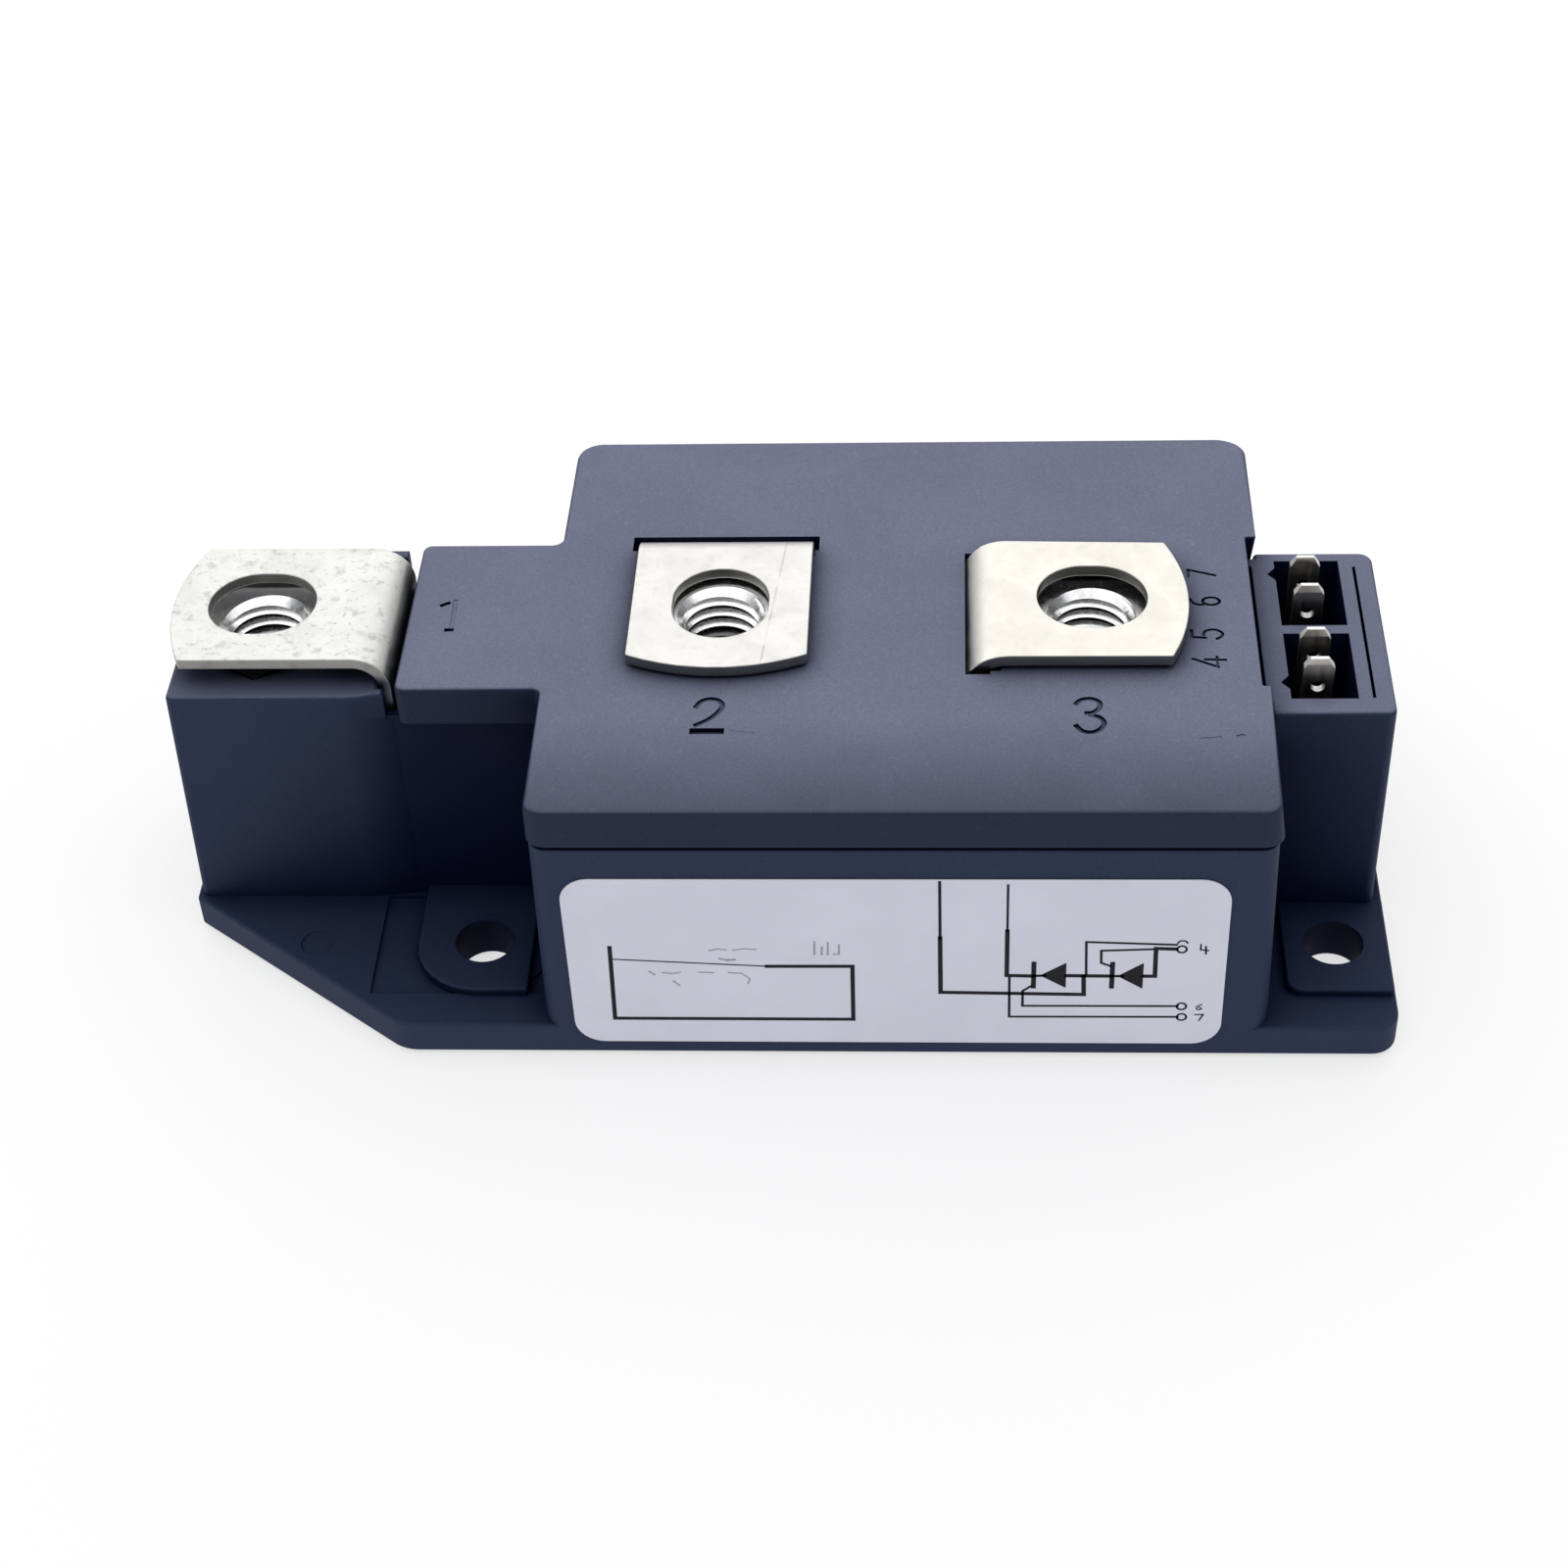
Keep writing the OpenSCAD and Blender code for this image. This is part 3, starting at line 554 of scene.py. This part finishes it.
CERAMIC = simple("alumina", (0.84, 0.82, 0.77), (0.78, 0.76, 0.71), 400, 0.5, 0.62, 0.004)
SILICON = simple("silicon", (0.16, 0.17, 0.2), (0.11, 0.12, 0.15), 300, 0.2, 0.3, 0.002, Metallic=0.6)
SOLDER = simple("soft_solder", (0.58, 0.58, 0.57), (0.45, 0.45, 0.45), 500, 0.3, 0.5, 0.01, Metallic=1.0)
SEAL = simple("bond_silicone", (0.5, 0.5, 0.47), (0.42, 0.42, 0.4), 500, 0.5, 0.7, 0.01)
GATE_LEAD = simple("yellow_insulation", (0.68, 0.5, 0.06), (0.58, 0.42, 0.05), 500, 0.4, 0.55, 0.006)
CATHODE_LEAD = simple("red_insulation", (0.5, 0.05, 0.04), (0.4, 0.035, 0.03), 500, 0.4, 0.55, 0.006)
GEL = simple("silicone_gel", (0.86, 0.88, 0.9), (0.8, 0.83, 0.86), 120, 0.05, 0.15, 0.004, Transmission_Weight=0.9, IOR=1.41)
PAPER = simple("label_paper", (0.675, 0.682, 0.785), (0.645, 0.652, 0.752), 140, 0.42, 0.55, 0.006)
INK = simple("label_ink", (0.006, 0.006, 0.01), (0.014, 0.014, 0.02), 900, 0.55, 0.7, 0.004, Specular_IOR_Level=0.15)
FAINT = simple("label_ink_faint", (0.26, 0.265, 0.31), (0.4, 0.405, 0.47), 2600, 0.55, 0.7, 0.004, Specular_IOR_Level=0.2)


def dress(obj, mat):
    obj.data.materials.clear()
    obj.data.materials.append(mat)


def stands_for(obj, node, mat):
    dress(obj, mat)
    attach(obj, "root")
    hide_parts(node)


# ---------------------------------------------------------------- engraved digits

# strokes in mm on the lid's top: path, width, depth
BOWL_6 = [(28.35 + 0.78 * math.cos(math.pi * k / 14), 1.52 + 0.55 * math.sin(math.pi * k / 14)) for k in range(28)]
STROKES = [
    # 1
    ([(-43.4, 1.4), (-42.85, 1.72)], 0.44, 0.32),
    ([(-42.2, 2.05), (-42.1, -1.85)], 0.4, 0.07),
    ([(-42.5, -2.25), (-42.1, -2.22)], 0.5, 0.34),
    # 2
    (catmull([(-18.5, -13.25), (-18.1, -12.55), (-17.3, -12.2), (-16.5, -12.45), (-16.15, -13.2), (-16.6, -14.2), (-17.4, -15.1), (-18.35, -15.75)]), 0.5, 0.26),
    ([(-18.5, -16.6), (-16.2, -16.6)], 0.8, 0.5),
    # 3
    (catmull([(15.5, -12.95), (15.95, -12.45), (16.8, -12.3), (17.5, -12.75), (17.5, -13.55), (16.95, -14.15), (16.4, -14.25)]), 0.5, 0.26),
    (catmull([(16.75, -14.55), (17.5, -14.85), (17.85, -15.6), (17.5, -16.4), (16.7, -16.85), (15.9, -16.65), (15.4, -16.0)]), 0.5, 0.3),
    # 4, 5, 6 and 7, turned a quarter to the left
    ([(26.2, -6.8), (28.4, -7.95)], 0.3, 0.24),
    ([(27.3, -6.88), (29.1, -6.95)], 0.3, 0.27),
    ([(28.35, -7.8), (28.35, -6.5)], 0.26, 0.2),
    ([(26.3, -2.7), (26.28, -3.68), (27.5, -3.82)], 0.3, 0.24),
    (catmull([(27.35, -3.45), (27.5, -2.9), (27.95, -2.66), (28.55, -2.68), (29.05, -3.1), (29.0, -3.6), (28.55, -3.95)]), 0.3, 0.27),
    (catmull([(26.4, 1.85), (26.65, 1.3), (27.15, 1.03), (27.55, 1.0)]), 0.3, 0.24),
    (BOWL_6, 0.3, 0.27),
    ([(26.47, 5.2), (26.5, 6.22), (28.94, 5.38)], 0.3, 0.24),
    # light scuffs
    ([(-15.2, -16.55), (-14.2, -16.72), (-13.2, -16.8)], 0.14, 0.04),
    ([(26.2, -17.7), (27.0, -17.62), (28.0, -17.5)], 0.16, 0.05),
    ([(29.5, -17.4), (29.95, -17.25)], 0.3, 0.08),
]


def ribbon_outline(path, width):
    """The outline of a line of some width along a path, mitred at its corners."""
    p = [Vector(q) for q in path]
    left, right = [], []
    for i, q in enumerate(p):
        d0 = (q - p[i - 1]).normalized() if i else (p[1] - q).normalized()
        d1 = (p[i + 1] - q).normalized() if i < len(p) - 1 else d0
        t = (d0 + d1).normalized()
        n = Vector((-t.y, t.x))
        half = width / 2 / max(0.35, n.dot(Vector((-d0.y, d0.x))))
        end = t * (-width / 2 if i == 0 else width / 2 if i == len(p) - 1 else 0)
        left.append(q + n * half + end)
        right.append(q - n * half + end)
    return left + right[::-1]


def stroke_cutter(path, width, depth, top):
    """A groove along a path, cut down from height top."""
    low, high = top - depth, top + 0.3
    if path is BOWL_6:
        closed = [(x, y, 0.0) for x, y in path]
        bowl = prism("bowl", closed, low, high, inset=-width / 2)
        return combine(bowl, prism("inside", closed, low - 1, high + 1, inset=width / 2), "DIFFERENCE")
    outline = ribbon_outline(path, width)
    return prism("stroke", [(q.x, q.y, 0.0) for q in outline], low, high, inset=0.0)


# ---------------------------------------------------------------- lid

LID_TOP, SEAM = 30.6, 26.3
LID_CORNERS = [
    (-32.75, -27.3, 1.6), (32.75, -27.3, 1.6), (32.75, -10.5, 0.2), (32.2, -10.5, 0.2),
    (32.2, 11.2, 0.2), (32.75, 11.2, 0.2), (32.75, 27.3, 2.3), (-32.75, 27.3, 2.3),
    (-32.75, 10.8, 1.0), (-46.4, 10.8, 0.9), (-46.4, -10.8, 0.9), (-32.75, -10.8, 0.6),
]


def lid_lean(x, y, z):
    """Draft on the lid's two ends; the right-hand end also tapers a little to the back."""
    if abs(x) > 31.15 and abs(y) > 10 and x > -34 and not (31.5 < x < 32.5 and abs(y) < 11.4):
        reach = min(1.0, (abs(x) - 31.15) / 1.6)
        lean = 0.28 - 0.55 * (z - SEAM) / (LID_TOP - SEAM)
        if x > 0:
            lean += 0.2 - 0.3 * (y + 27.3) / 27.3
        x += math.copysign(lean * reach, x)
    return x, y, z


def lid_edge(p):
    """Radius of the lid's top edge: fuller at the two ends, small in the notch."""
    if p.x > 31 and abs(p.y) < 12.2:
        return 0.16 if abs(p.y) < 11.5 else 0.16 + 0.6 * (abs(p.y) - 11.5)
    if p.x < -32 and abs(p.y) < 12:
        return 0.42
    if abs(p.x) > 30:
        side = min(1.0, (27.3 - abs(p.y)) / 2.0)
        return 0.45 + 0.3 * side
    return 0.45


def hexagon(x, y, flats):
    r = flats / 2 / math.cos(math.pi / 6)
    return [(x + r * math.cos(math.pi / 3 * k), y + r * math.sin(math.pi / 3 * k), 0.0) for k in range(6)]


def make_lid():
    obj = prism("lid_moulding", LID_CORNERS, SEAM, LID_TOP, lid_edge, 0.2, lid_lean)
    # hollow underside, locating skirt and the two nut cups
    for box in (rect(-29.9, -24.5, 29.9, 24.5), rect(-45, -8.4, -20, 8.4)):
        combine(obj, prism("hollow", box, 20, 28.2), "DIFFERENCE")
    skirt = prism("skirt", rect(-29.8, -24.4, 29.8, 24.4), 24.3, 28.5)
    combine(skirt, prism("inside", rect(-28.5, -23.1, 28.5, 23.1), 20, 30), "DIFFERENCE")
    combine(skirt, prism("way", rect(-40, -8.3, -20, 8.3), 20, 30), "DIFFERENCE")
    combine(obj, skirt, "UNION")
    for x, low in ((-17, 24.0), (17.3, 23.6)):
        cup = revolved("cup", x, 0, [(0, 18.4), (9.0, 18.4), (9.2, 18.6), (9.2, 28.6), (0, 28.6)])
        combine(obj, cup, "UNION")
        combine(obj, prism("pocket", hexagon(x, 0, 13.34), low, 33), "DIFFERENCE")
        combine(obj, revolved("screw_room", x, 0, [(0, 20), (4.5, 20), (4.5, 26), (0, 26)]), "DIFFERENCE")
    # slots for the strips, with room under their bends
    for x0, y0, x1, y1, z in (
        (-26.1, 9.5, -8.2, 11.7, 15), (5.6, -8.9, 7.9, 8.9, 15), (-25.42, 8.6, -8.58, 9.7, 29.4), (7.7, -8.42, 8.9, 8.42, 29.4),
    ):
        combine(obj, prism("slot", rect(x0, y0, x1, y1), z, 33), "DIFFERENCE")
    combine(obj, prism("undercut", rect(4.7, -8.93, 7.85, 8.93), 15.5, 30.2), "DIFFERENCE")
    for path, width, depth in STROKES:
        combine(obj, stroke_cutter(path, width, depth, LID_TOP), "DIFFERENCE")
    crisp(obj)
    stands_for(obj, "lid", LID)


# ---------------------------------------------------------------- housing


FLANGE = [
    (45.3, -27.3, 2.4), (45.3, 27.3, 2.4), (-46.8, 27.3, 4.0), (-69.2, 10.4, 0.6),
    (-69.2, -10.4, 0.6), (-46.8, -27.3, 4.0),
]
BODY = [(-33.3, -27.3, 1.8), (33.3, -27.3, 1.8), (33.3, 27.3, 2.2), (-33.3, 27.3, 2.2)]
TOWER = [
    (-68.8, -10.2, 0.7), (-51.2, -10.2, 9.0), (-47.7, -9.62, 0.0), (-47.7, -8.6, 0.0), (-48.3, -8.6, 0.0),
    (-48.3, 8.6, 0.0), (-47.7, 8.6, 0.0), (-47.7, 10.2, 0.0), (-68.8, 10.2, 0.7),
]
FOOT = [(-49.3, -9.885, 0.0), (-47.1, -9.52, 0.0), (-47.1, 10.2, 0.62), (-49.3, 10.2, 0.0)]
BLOCK = [(33.05, -11.75, 0.5), (44.3, -11.75, 0.9), (44.3, 11.75, 1.3), (33.05, 11.75, 0.5)]
LIP = [(32.76, -10.1, 0.0), (34.4, -10.1, 0.0), (34.4, 10.8, 0.0), (32.5, 10.8, 0.0), (32.5, 9.7, 0.0), (32.76, 9.5, 0.0)]
BOSS = [
    (-46.45, -9.0, 0.0), (-46.45, -23.45, 6.4), (-35.2, -23.45, 0.3), (-35.2, -9.0, 0.0),
]
PAD = [(35.2, -23.2, 1.4), (45.15, -23.2, 0.4), (45.15, -11.25, 0.0), (35.2, -11.25, 0.0)]


def body_draft(x, y, z):
    return x * (1 - (z - 3) / 23.05 * (1 - 32.85 / 33.3)), y, z


def tower_draft(x, y, z):
    return -48.3 + (x + 48.3) * (1 - (z - 1) / 28.1 * 0.9 / 20.5), y, z


def make_housing():
    shell = prism("housing_shell", FLANGE, 0.2, 3.7, 0.3, 0.22)
    parts = [
        prism("body", BODY, 3, 26.05, 0.15, 0, body_draft, inset=0.025),
        prism("ledge", rect(-32.2, -26.6, 32.2, 26.6), 20, 26.3),
        prism("tower", TOWER, 1, 29.1, 0.45, 0, tower_draft, inset=0.022),
        prism("tower_foot", FOOT, 1.2, 26, 0.12, inset=0.029),
        prism("stop", rect(-54, 9, -47.7, 10.2), 20, 30.4, 0.2, inset=0.038),
        prism("channel", rect(-48.9, -9.5, -32.7, 9.5), 1.4, 26.3, 0.08, inset=0.03),
        prism("block_root", rect(31.5, -11.75, 36, 11.75), 3, 25.8, inset=0.03),
        prism("block", BLOCK, 3, 28.3, 0.4),
        prism("lip", LIP, 25.3, 28.3, 0.1, inset=0.024),
        prism("boss_front", BOSS, 2.6, 4.5, 0.28),
        prism("boss_back", flip(BOSS), 2.6, 4.5, 0.28),
        prism("pad_front", PAD, 2.6, 4.5, 0.28, inset=0.024),
        prism("pad_back", flip(PAD), 2.6, 4.5, 0.28, inset=0.024),
    ]
    for part in parts:
        combine(shell, part, "UNION")
    for x in (-40, 40):
        for y in (-17, 17):
            combine(shell, revolved("rim", x, y, [(0, 4.2), (2.55, 4.2), (2.95, 4.6), (2.95, 5), (0, 5)]), "DIFFERENCE")
    for y in (-16.6, 16.6):
        combine(shell, revolved("mark", -56.3, y, [(0, 3.55), (1.5, 3.55), (1.6, 3.62), (1.6, 5), (0, 5)]), "DIFFERENCE")
    obj = to_object("housing_moulding", cad_mesh("housing"))
    combine(obj, shell, "INTERSECT")
    crisp(obj)
    stands_for(obj, "housing", HOUSING)


# ---------------------------------------------------------------- metal pieces


def raised(co):
    """Strip 3 sits a little high, most at its back near the bend."""
    share = min(1.0, max(0.0, (co.z / MM - 29.6) / 1.8))
    back = (co.y / MM + 8.3) / 16.6 * (26.2 - co.x / MM) / 20
    return Vector((co.x, co.y, co.z + share * (0.15 + 0.4 * back) * MM))


def make_strip(node, mat, shape=None):
    obj = to_object(node + "_strip", cad_mesh(node, 0.06, 0.4))
    if shape:
        for v in obj.data.vertices:
            v.co = shape(v.co)
    round_edges(obj, 0.17)
    stands_for(obj, node, mat)


def screw_cutter(places):
    """M8 screw thread, 1.25 mm pitch, as a closed helical solid at each place."""
    turn, pitch, minor, major = 48, 1.25, 3.2, 4.0
    profile = [(0.0, minor), (0.44, major), (0.56, major)]
    bm = bmesh.new()
    for x, z0, length in places:
        rows = []
        turns = int(math.ceil(length / pitch)) + 2
        for k in range(turns):
            for share, r in profile:
                row = []
                for i in range(turn):
                    a = 2 * math.pi * i / turn
                    z = z0 + (k - 1 + share + i / turn) * pitch
                    row.append(bm.verts.new(((x + r * math.cos(a)) * MM, r * math.sin(a) * MM, z * MM)))
                rows.append(row)
        step = len(profile)
        for j in range(len(rows) - 1):
            for i in range(turn):
                if i < turn - 1:
                    bm.faces.new((rows[j][i], rows[j][i + 1], rows[j + 1][i + 1], rows[j + 1][i]))
                elif j + step + 1 < len(rows):
                    bm.faces.new((rows[j][i], rows[j + step][0], rows[j + step + 1][0], rows[j + 1][i]))
        low = rows[0] + [rows[j][0] for j in range(step, 0, -1)]
        high = [rows[-1][i] for i in range(turn)]
        last = len(rows) - 1
        high = high[:1] + high[1:]
        bottom = bm.verts.new((x * MM, 0, (z0 - 1.2 * pitch) * MM))
        cap_top = bm.verts.new((x * MM, 0, (z0 + turns * pitch) * MM))
        rim = low
        for a, b in zip(rim, rim[1:] + rim[:1]):
            bm.faces.new((b, a, bottom))
        rim = high + [rows[j][turn - 1] for j in range(last - 1, last - step - 1, -1)]
        for a, b in zip(rim, rim[1:] + rim[:1]):
            bm.faces.new((a, b, cap_top))
    bmesh.ops.recalc_face_normals(bm, faces=bm.faces)
    return to_object("threads", bm)


def make_nuts():
    obj = to_object("threaded_nuts", cad_mesh("terminal_nuts"))
    for place in ((-60, 22.6, 8), (-17, 23.4, 8), (17.3, 23.0, 8)):
        combine(obj, screw_cutter([place]), "DIFFERENCE")
    crisp(obj, 28)
    stands_for(obj, "terminal_nuts", NUT)


def make_tab(node):
    obj = to_object(node + "_blade", cad_mesh(node, 0.004, 0.4))
    round_edges(obj, 0.07, 2)
    stands_for(obj, node, TAB)


# ---------------------------------------------------------------- label

LABEL_Y = -27.45
THICK, THIN = 0.42, 0.24


def ribbon(bm, path, width):
    """A flat printed line along a path of (x, z)."""
    patch(bm, ribbon_outline(path, width))


def patch(bm, outline):
    front, back = (LABEL_Y - 0.012) * MM, (LABEL_Y + 0.02) * MM
    a = [bm.verts.new((q[0] * MM, front, q[1] * MM)) for q in outline]
    b = [bm.verts.new((q[0] * MM, back, q[1] * MM)) for q in outline]
    bm.faces.new(a)
    bm.faces.new(b[::-1])
    for i in range(len(a)):
        j = (i + 1) % len(a)
        bm.faces.new((a[j], a[i], b[i], b[j]))


def ring(bm, x, z, r, width):
    front, back = (LABEL_Y - 0.012) * MM, (LABEL_Y + 0.02) * MM
    n = 28
    loops = []
    for rr, y in ((r + width / 2, front), (r - width / 2, front), (r - width / 2, back), (r + width / 2, back)):
        loops.append(
            [
                bm.verts.new(((x + rr * math.cos(2 * math.pi * i / n)) * MM, y, (z + rr * math.sin(2 * math.pi * i / n)) * MM))
                for i in range(n)
            ]
        )
    for k in range(4):
        a, b = loops[k], loops[(k + 1) % 4]
        for i in range(n):
            j = (i + 1) % n
            bm.faces.new((a[i], a[j], b[j], b[i]))


def make_label():
    sheet = to_object("label_sheet", cad_mesh("label", 0.004, 0.4))
    round_edges(sheet, 0.05, 2)
    stands_for(sheet, "label", PAPER)
    bm = bmesh.new()
    # plain frame at the left
    ribbon(bm, [(-26.4, 14.2), (-26.62, 4.93), (-4.65, 4.91), (-4.57, 11.87), (-12.3, 11.84)], 0.4)
    ribbon(bm, [(-26.2, 12.7), (-12.5, 11.86)], 0.14)
    # circuit: supply lines, two thyristors in series, gate and cathode leads
    ribbon(bm, [(3.33, 22.45), (3.34, 15.5)], 0.28)
    ribbon(bm, [(3.34, 15.5), (3.36, 8.52), (16.3, 8.3), (16.22, 10.7)], THICK)
    ribbon(bm, [(9.32, 22.1), (9.32, 16.4)], 0.22)
    ribbon(bm, [(9.32, 16.4), (9.32, 10.74), (11.6, 10.68)], THICK)
    ribbon(bm, [(11.74, 9.3), (11.74, 12.3)], 0.45)
    ribbon(bm, [(11.8, 10.7), (12.7, 10.74)], 0.3)
    patch(bm, [(12.3, 10.76), (14.65, 12.4), (14.65, 9.15)])
    ribbon(bm, [(14.7, 10.74), (18.6, 10.7)], THICK)
    ribbon(bm, [(18.77, 9.3), (18.77, 12.3)], 0.45)
    ribbon(bm, [(18.8, 10.7), (19.7, 10.7)], 0.3)
    patch(bm, [(19.25, 10.7), (21.55, 12.4), (21.55, 9.08)])
    ribbon(bm, [(21.6, 10.7), (22.6, 10.7), (22.55, 14.25), (24.35, 14.18)], THICK)
    ribbon(bm, [(16.44, 10.9), (16.34, 15.05), (24.35, 14.72)], THIN)
    ribbon(bm, [(18.6, 11.98), (17.75, 12.39), (17.7, 13.95), (22.3, 14.15)], THIN)
    ribbon(bm, [(11.55, 9.39), (10.78, 8.74), (10.79, 6.78), (24.8, 6.81)], THIN)
    ribbon(bm, [(9.56, 10.5), (9.6, 5.34), (24.87, 5.39)], THIN)
    for x, z in ((25.17, 6.78), (25.25, 5.38), (24.85, 14.15)):
        ring(bm, x, z, 0.42, 0.2)
    ribbon(bm, catmull([(24.45, 14.95), (24.62, 15.17), (24.9, 15.23), (25.15, 15.17), (25.3, 14.95)], 3), 0.17)
    # 4, 6 and 7
    ribbon(bm, [(26.5, 14.75), (26.5, 14.1), (27.2, 14.0)], 0.16)
    ribbon(bm, [(26.95, 14.5), (27.0, 13.6)], 0.18)
    ribbon(bm, [(27.0, 7.05), (26.55, 6.75), (26.55, 6.42), (26.8, 6.32), (27.0, 6.5), (26.75, 6.68)], 0.13)
    ribbon(bm, [(26.45, 5.7), (27.2, 5.72), (26.85, 4.95)], 0.15)
    bmesh.ops.recalc_face_normals(bm, faces=bm.faces)
    ink = to_object("label_print", bm)
    dress(ink, INK)
    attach(ink, "root")
    # worn, faint marks: plain dashes only
    bm = bmesh.new()
    for path, width in (
        ([(-17.4, 13.85), (-16.7, 14.05), (-15.9, 13.95)], 0.16),
        ([(-15.3, 13.9), (-14.2, 14.1), (-13.2, 14.0)], 0.13),
        ([(-16.5, 12.8), (-15.9, 12.62), (-15.2, 12.7)], 0.24),
        ([(-23.0, 11.1), (-22.6, 10.75)], 0.2),
        ([(-21.8, 11.0), (-20.9, 10.85), (-20.2, 11.05)], 0.16),
        ([(-20.9, 9.9), (-20.4, 9.35)], 0.18),
        ([(-18.5, 11.05), (-17.2, 11.0)], 0.15),
        ([(-15.8, 11.0), (-14.6, 10.9), (-13.9, 10.2), (-14.1, 9.6)], 0.15),
        ([(-7.95, 13.45), (-7.9, 14.95)], 0.2),
        ([(-7.3, 13.4), (-7.25, 14.3)], 0.2),
        ([(-6.75, 13.4), (-6.7, 14.85)], 0.18),
        ([(-6.2, 13.4), (-5.75, 13.42), (-5.7, 14.6)], 0.18),
    ):
        ribbon(bm, path, width)
    bmesh.ops.recalc_face_normals(bm, faces=bm.faces)
    worn = to_object("label_print_worn", bm)
    dress(worn, FAINT)
    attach(worn, "root")


# ---------------------------------------------------------------- build

make_lid()
make_housing()
make_strip("terminal_1", STRIP_1)
make_strip("terminal_2", STRIP_2)
make_strip("terminal_3", STRIP_3, raised)
make_nuts()
for tab_node in ("gate_tab_4", "cathode_tab_5", "cathode_tab_6", "gate_tab_7"):
    make_tab(tab_node)
make_label()

KEPT = {
    "base_plate": BASE,
    "base_seal": SEAL,
    "back_foil_left": COPPER,
    "back_foil_right": COPPER,
    "ceramic_left": CERAMIC,
    "ceramic_right": CERAMIC,
    "anode_pad_left": COPPER,
    "anode_pad_right": COPPER,
    "cathode_pad_left": COPPER,
    "thyristor_chip_left": SILICON,
    "thyristor_chip_right": SILICON,
    "cathode_clip": COPPER,
    "cathode_bridge": COPPER,
    "solder_layers": SOLDER,
    "gate_lead_4": GATE_LEAD,
    "cathode_lead_5": CATHODE_LEAD,
    "cathode_lead_6": CATHODE_LEAD,
    "gate_lead_7": GATE_LEAD,
    "gel_fill": GEL,
}
for kept, finish in KEPT.items():
    dress(NODES[kept], finish)


# ---------------------------------------------------------------- floor, light, camera


def make_floor():
    """A round white sweep that curves up far from the part."""
    bm = bmesh.new()
    radii = [0.02, 0.1, 0.3, 0.7, 1.2, 1.7, 2.1, 2.4]
    rise = [0, 0, 0, 0, 0.02, 0.09, 0.25, 0.55]
    n = 64
    centre = bm.verts.new((0, 0, -0.0002))
    rings = [
        [bm.verts.new((r * math.cos(2 * math.pi * i / n), r * math.sin(2 * math.pi * i / n), h - 0.0002)) for i in range(n)]
        for r, h in zip(radii, rise)
    ]
    for i in range(n):
        bm.faces.new((centre, rings[0][i], rings[0][(i + 1) % n]))
    for a, b in zip(rings, rings[1:]):
        for i in range(n):
            j = (i + 1) % n
            bm.faces.new((a[i], b[i], b[j], a[j]))
    floor = to_object("floor", bm)
    floor.data.polygons.foreach_set("use_smooth", [True] * len(floor.data.polygons))
    f = Finish("floor_white")
    cloud = f.noise(6, 2, 0.5)
    f.colour(f.mix(f.band(cloud, 0.3, 0.7), (0.35, 0.35, 0.353), (0.33, 0.33, 0.333)))
    mat = f.set(Roughness=0.9, Specular_IOR_Level=0.0, Emission_Strength=0.64, Emission_Color=(1, 1, 1, 1))
    dress(floor, mat)


def softbox(name, direction, distance, width, height, radiance, target=(-0.012, 0, 0.02)):
    lamp = bpy.data.lights.new(name, "AREA")
    lamp.shape = "RECTANGLE"
    lamp.size, lamp.size_y = width, height
    lamp.energy = radiance * math.pi * width * height
    obj = add_object(name, lamp)
    d = Vector(direction).normalized()
    obj.location = Vector(target) + d * distance
    obj.rotation_euler = (-d).to_track_quat("-Z", "Y").to_euler()


def make_light():
    softbox("light_overhead", (-0.05, 0.28, 1.0), 0.85, 2.6, 2.8, 1.2)
    world = bpy.data.worlds.new("studio")
    world.use_nodes = True
    back = world.node_tree.nodes["Background"]
    back.inputs["Color"].default_value = (0.9, 0.94, 1.0, 1)
    back.inputs["Strength"].default_value = 0.22
    SCENE.world = world
    SCENE.view_settings.view_transform = "Standard"
    SCENE.view_settings.look = "None"


def make_camera():
    pan, tilt, roll = 0.079, math.radians(42.19), 0.054
    ahead = Vector((-math.sin(pan) * math.cos(tilt), math.cos(pan) * math.cos(tilt), -math.sin(tilt)))
    right = Vector((math.cos(pan), math.sin(pan), 0))
    down = ahead.cross(right)
    x = right * math.cos(roll) + down * math.sin(roll)
    y = right * math.sin(roll) - down * math.cos(roll)
    cam = bpy.data.cameras.new("camera")
    cam.lens, cam.sensor_width = 66.88, 36.0
    cam.clip_start, cam.clip_end = 0.005, 20
    obj = add_object("camera", cam)
    at = Vector((4.647, -210.662, 200.68)) * MM
    obj.matrix_world = Matrix(
        [[x[i], y[i], -ahead[i], at[i]] for i in range(3)] + [[0, 0, 0, 1]]
    )
    SCENE.camera = obj


make_floor()
make_light()
make_camera()
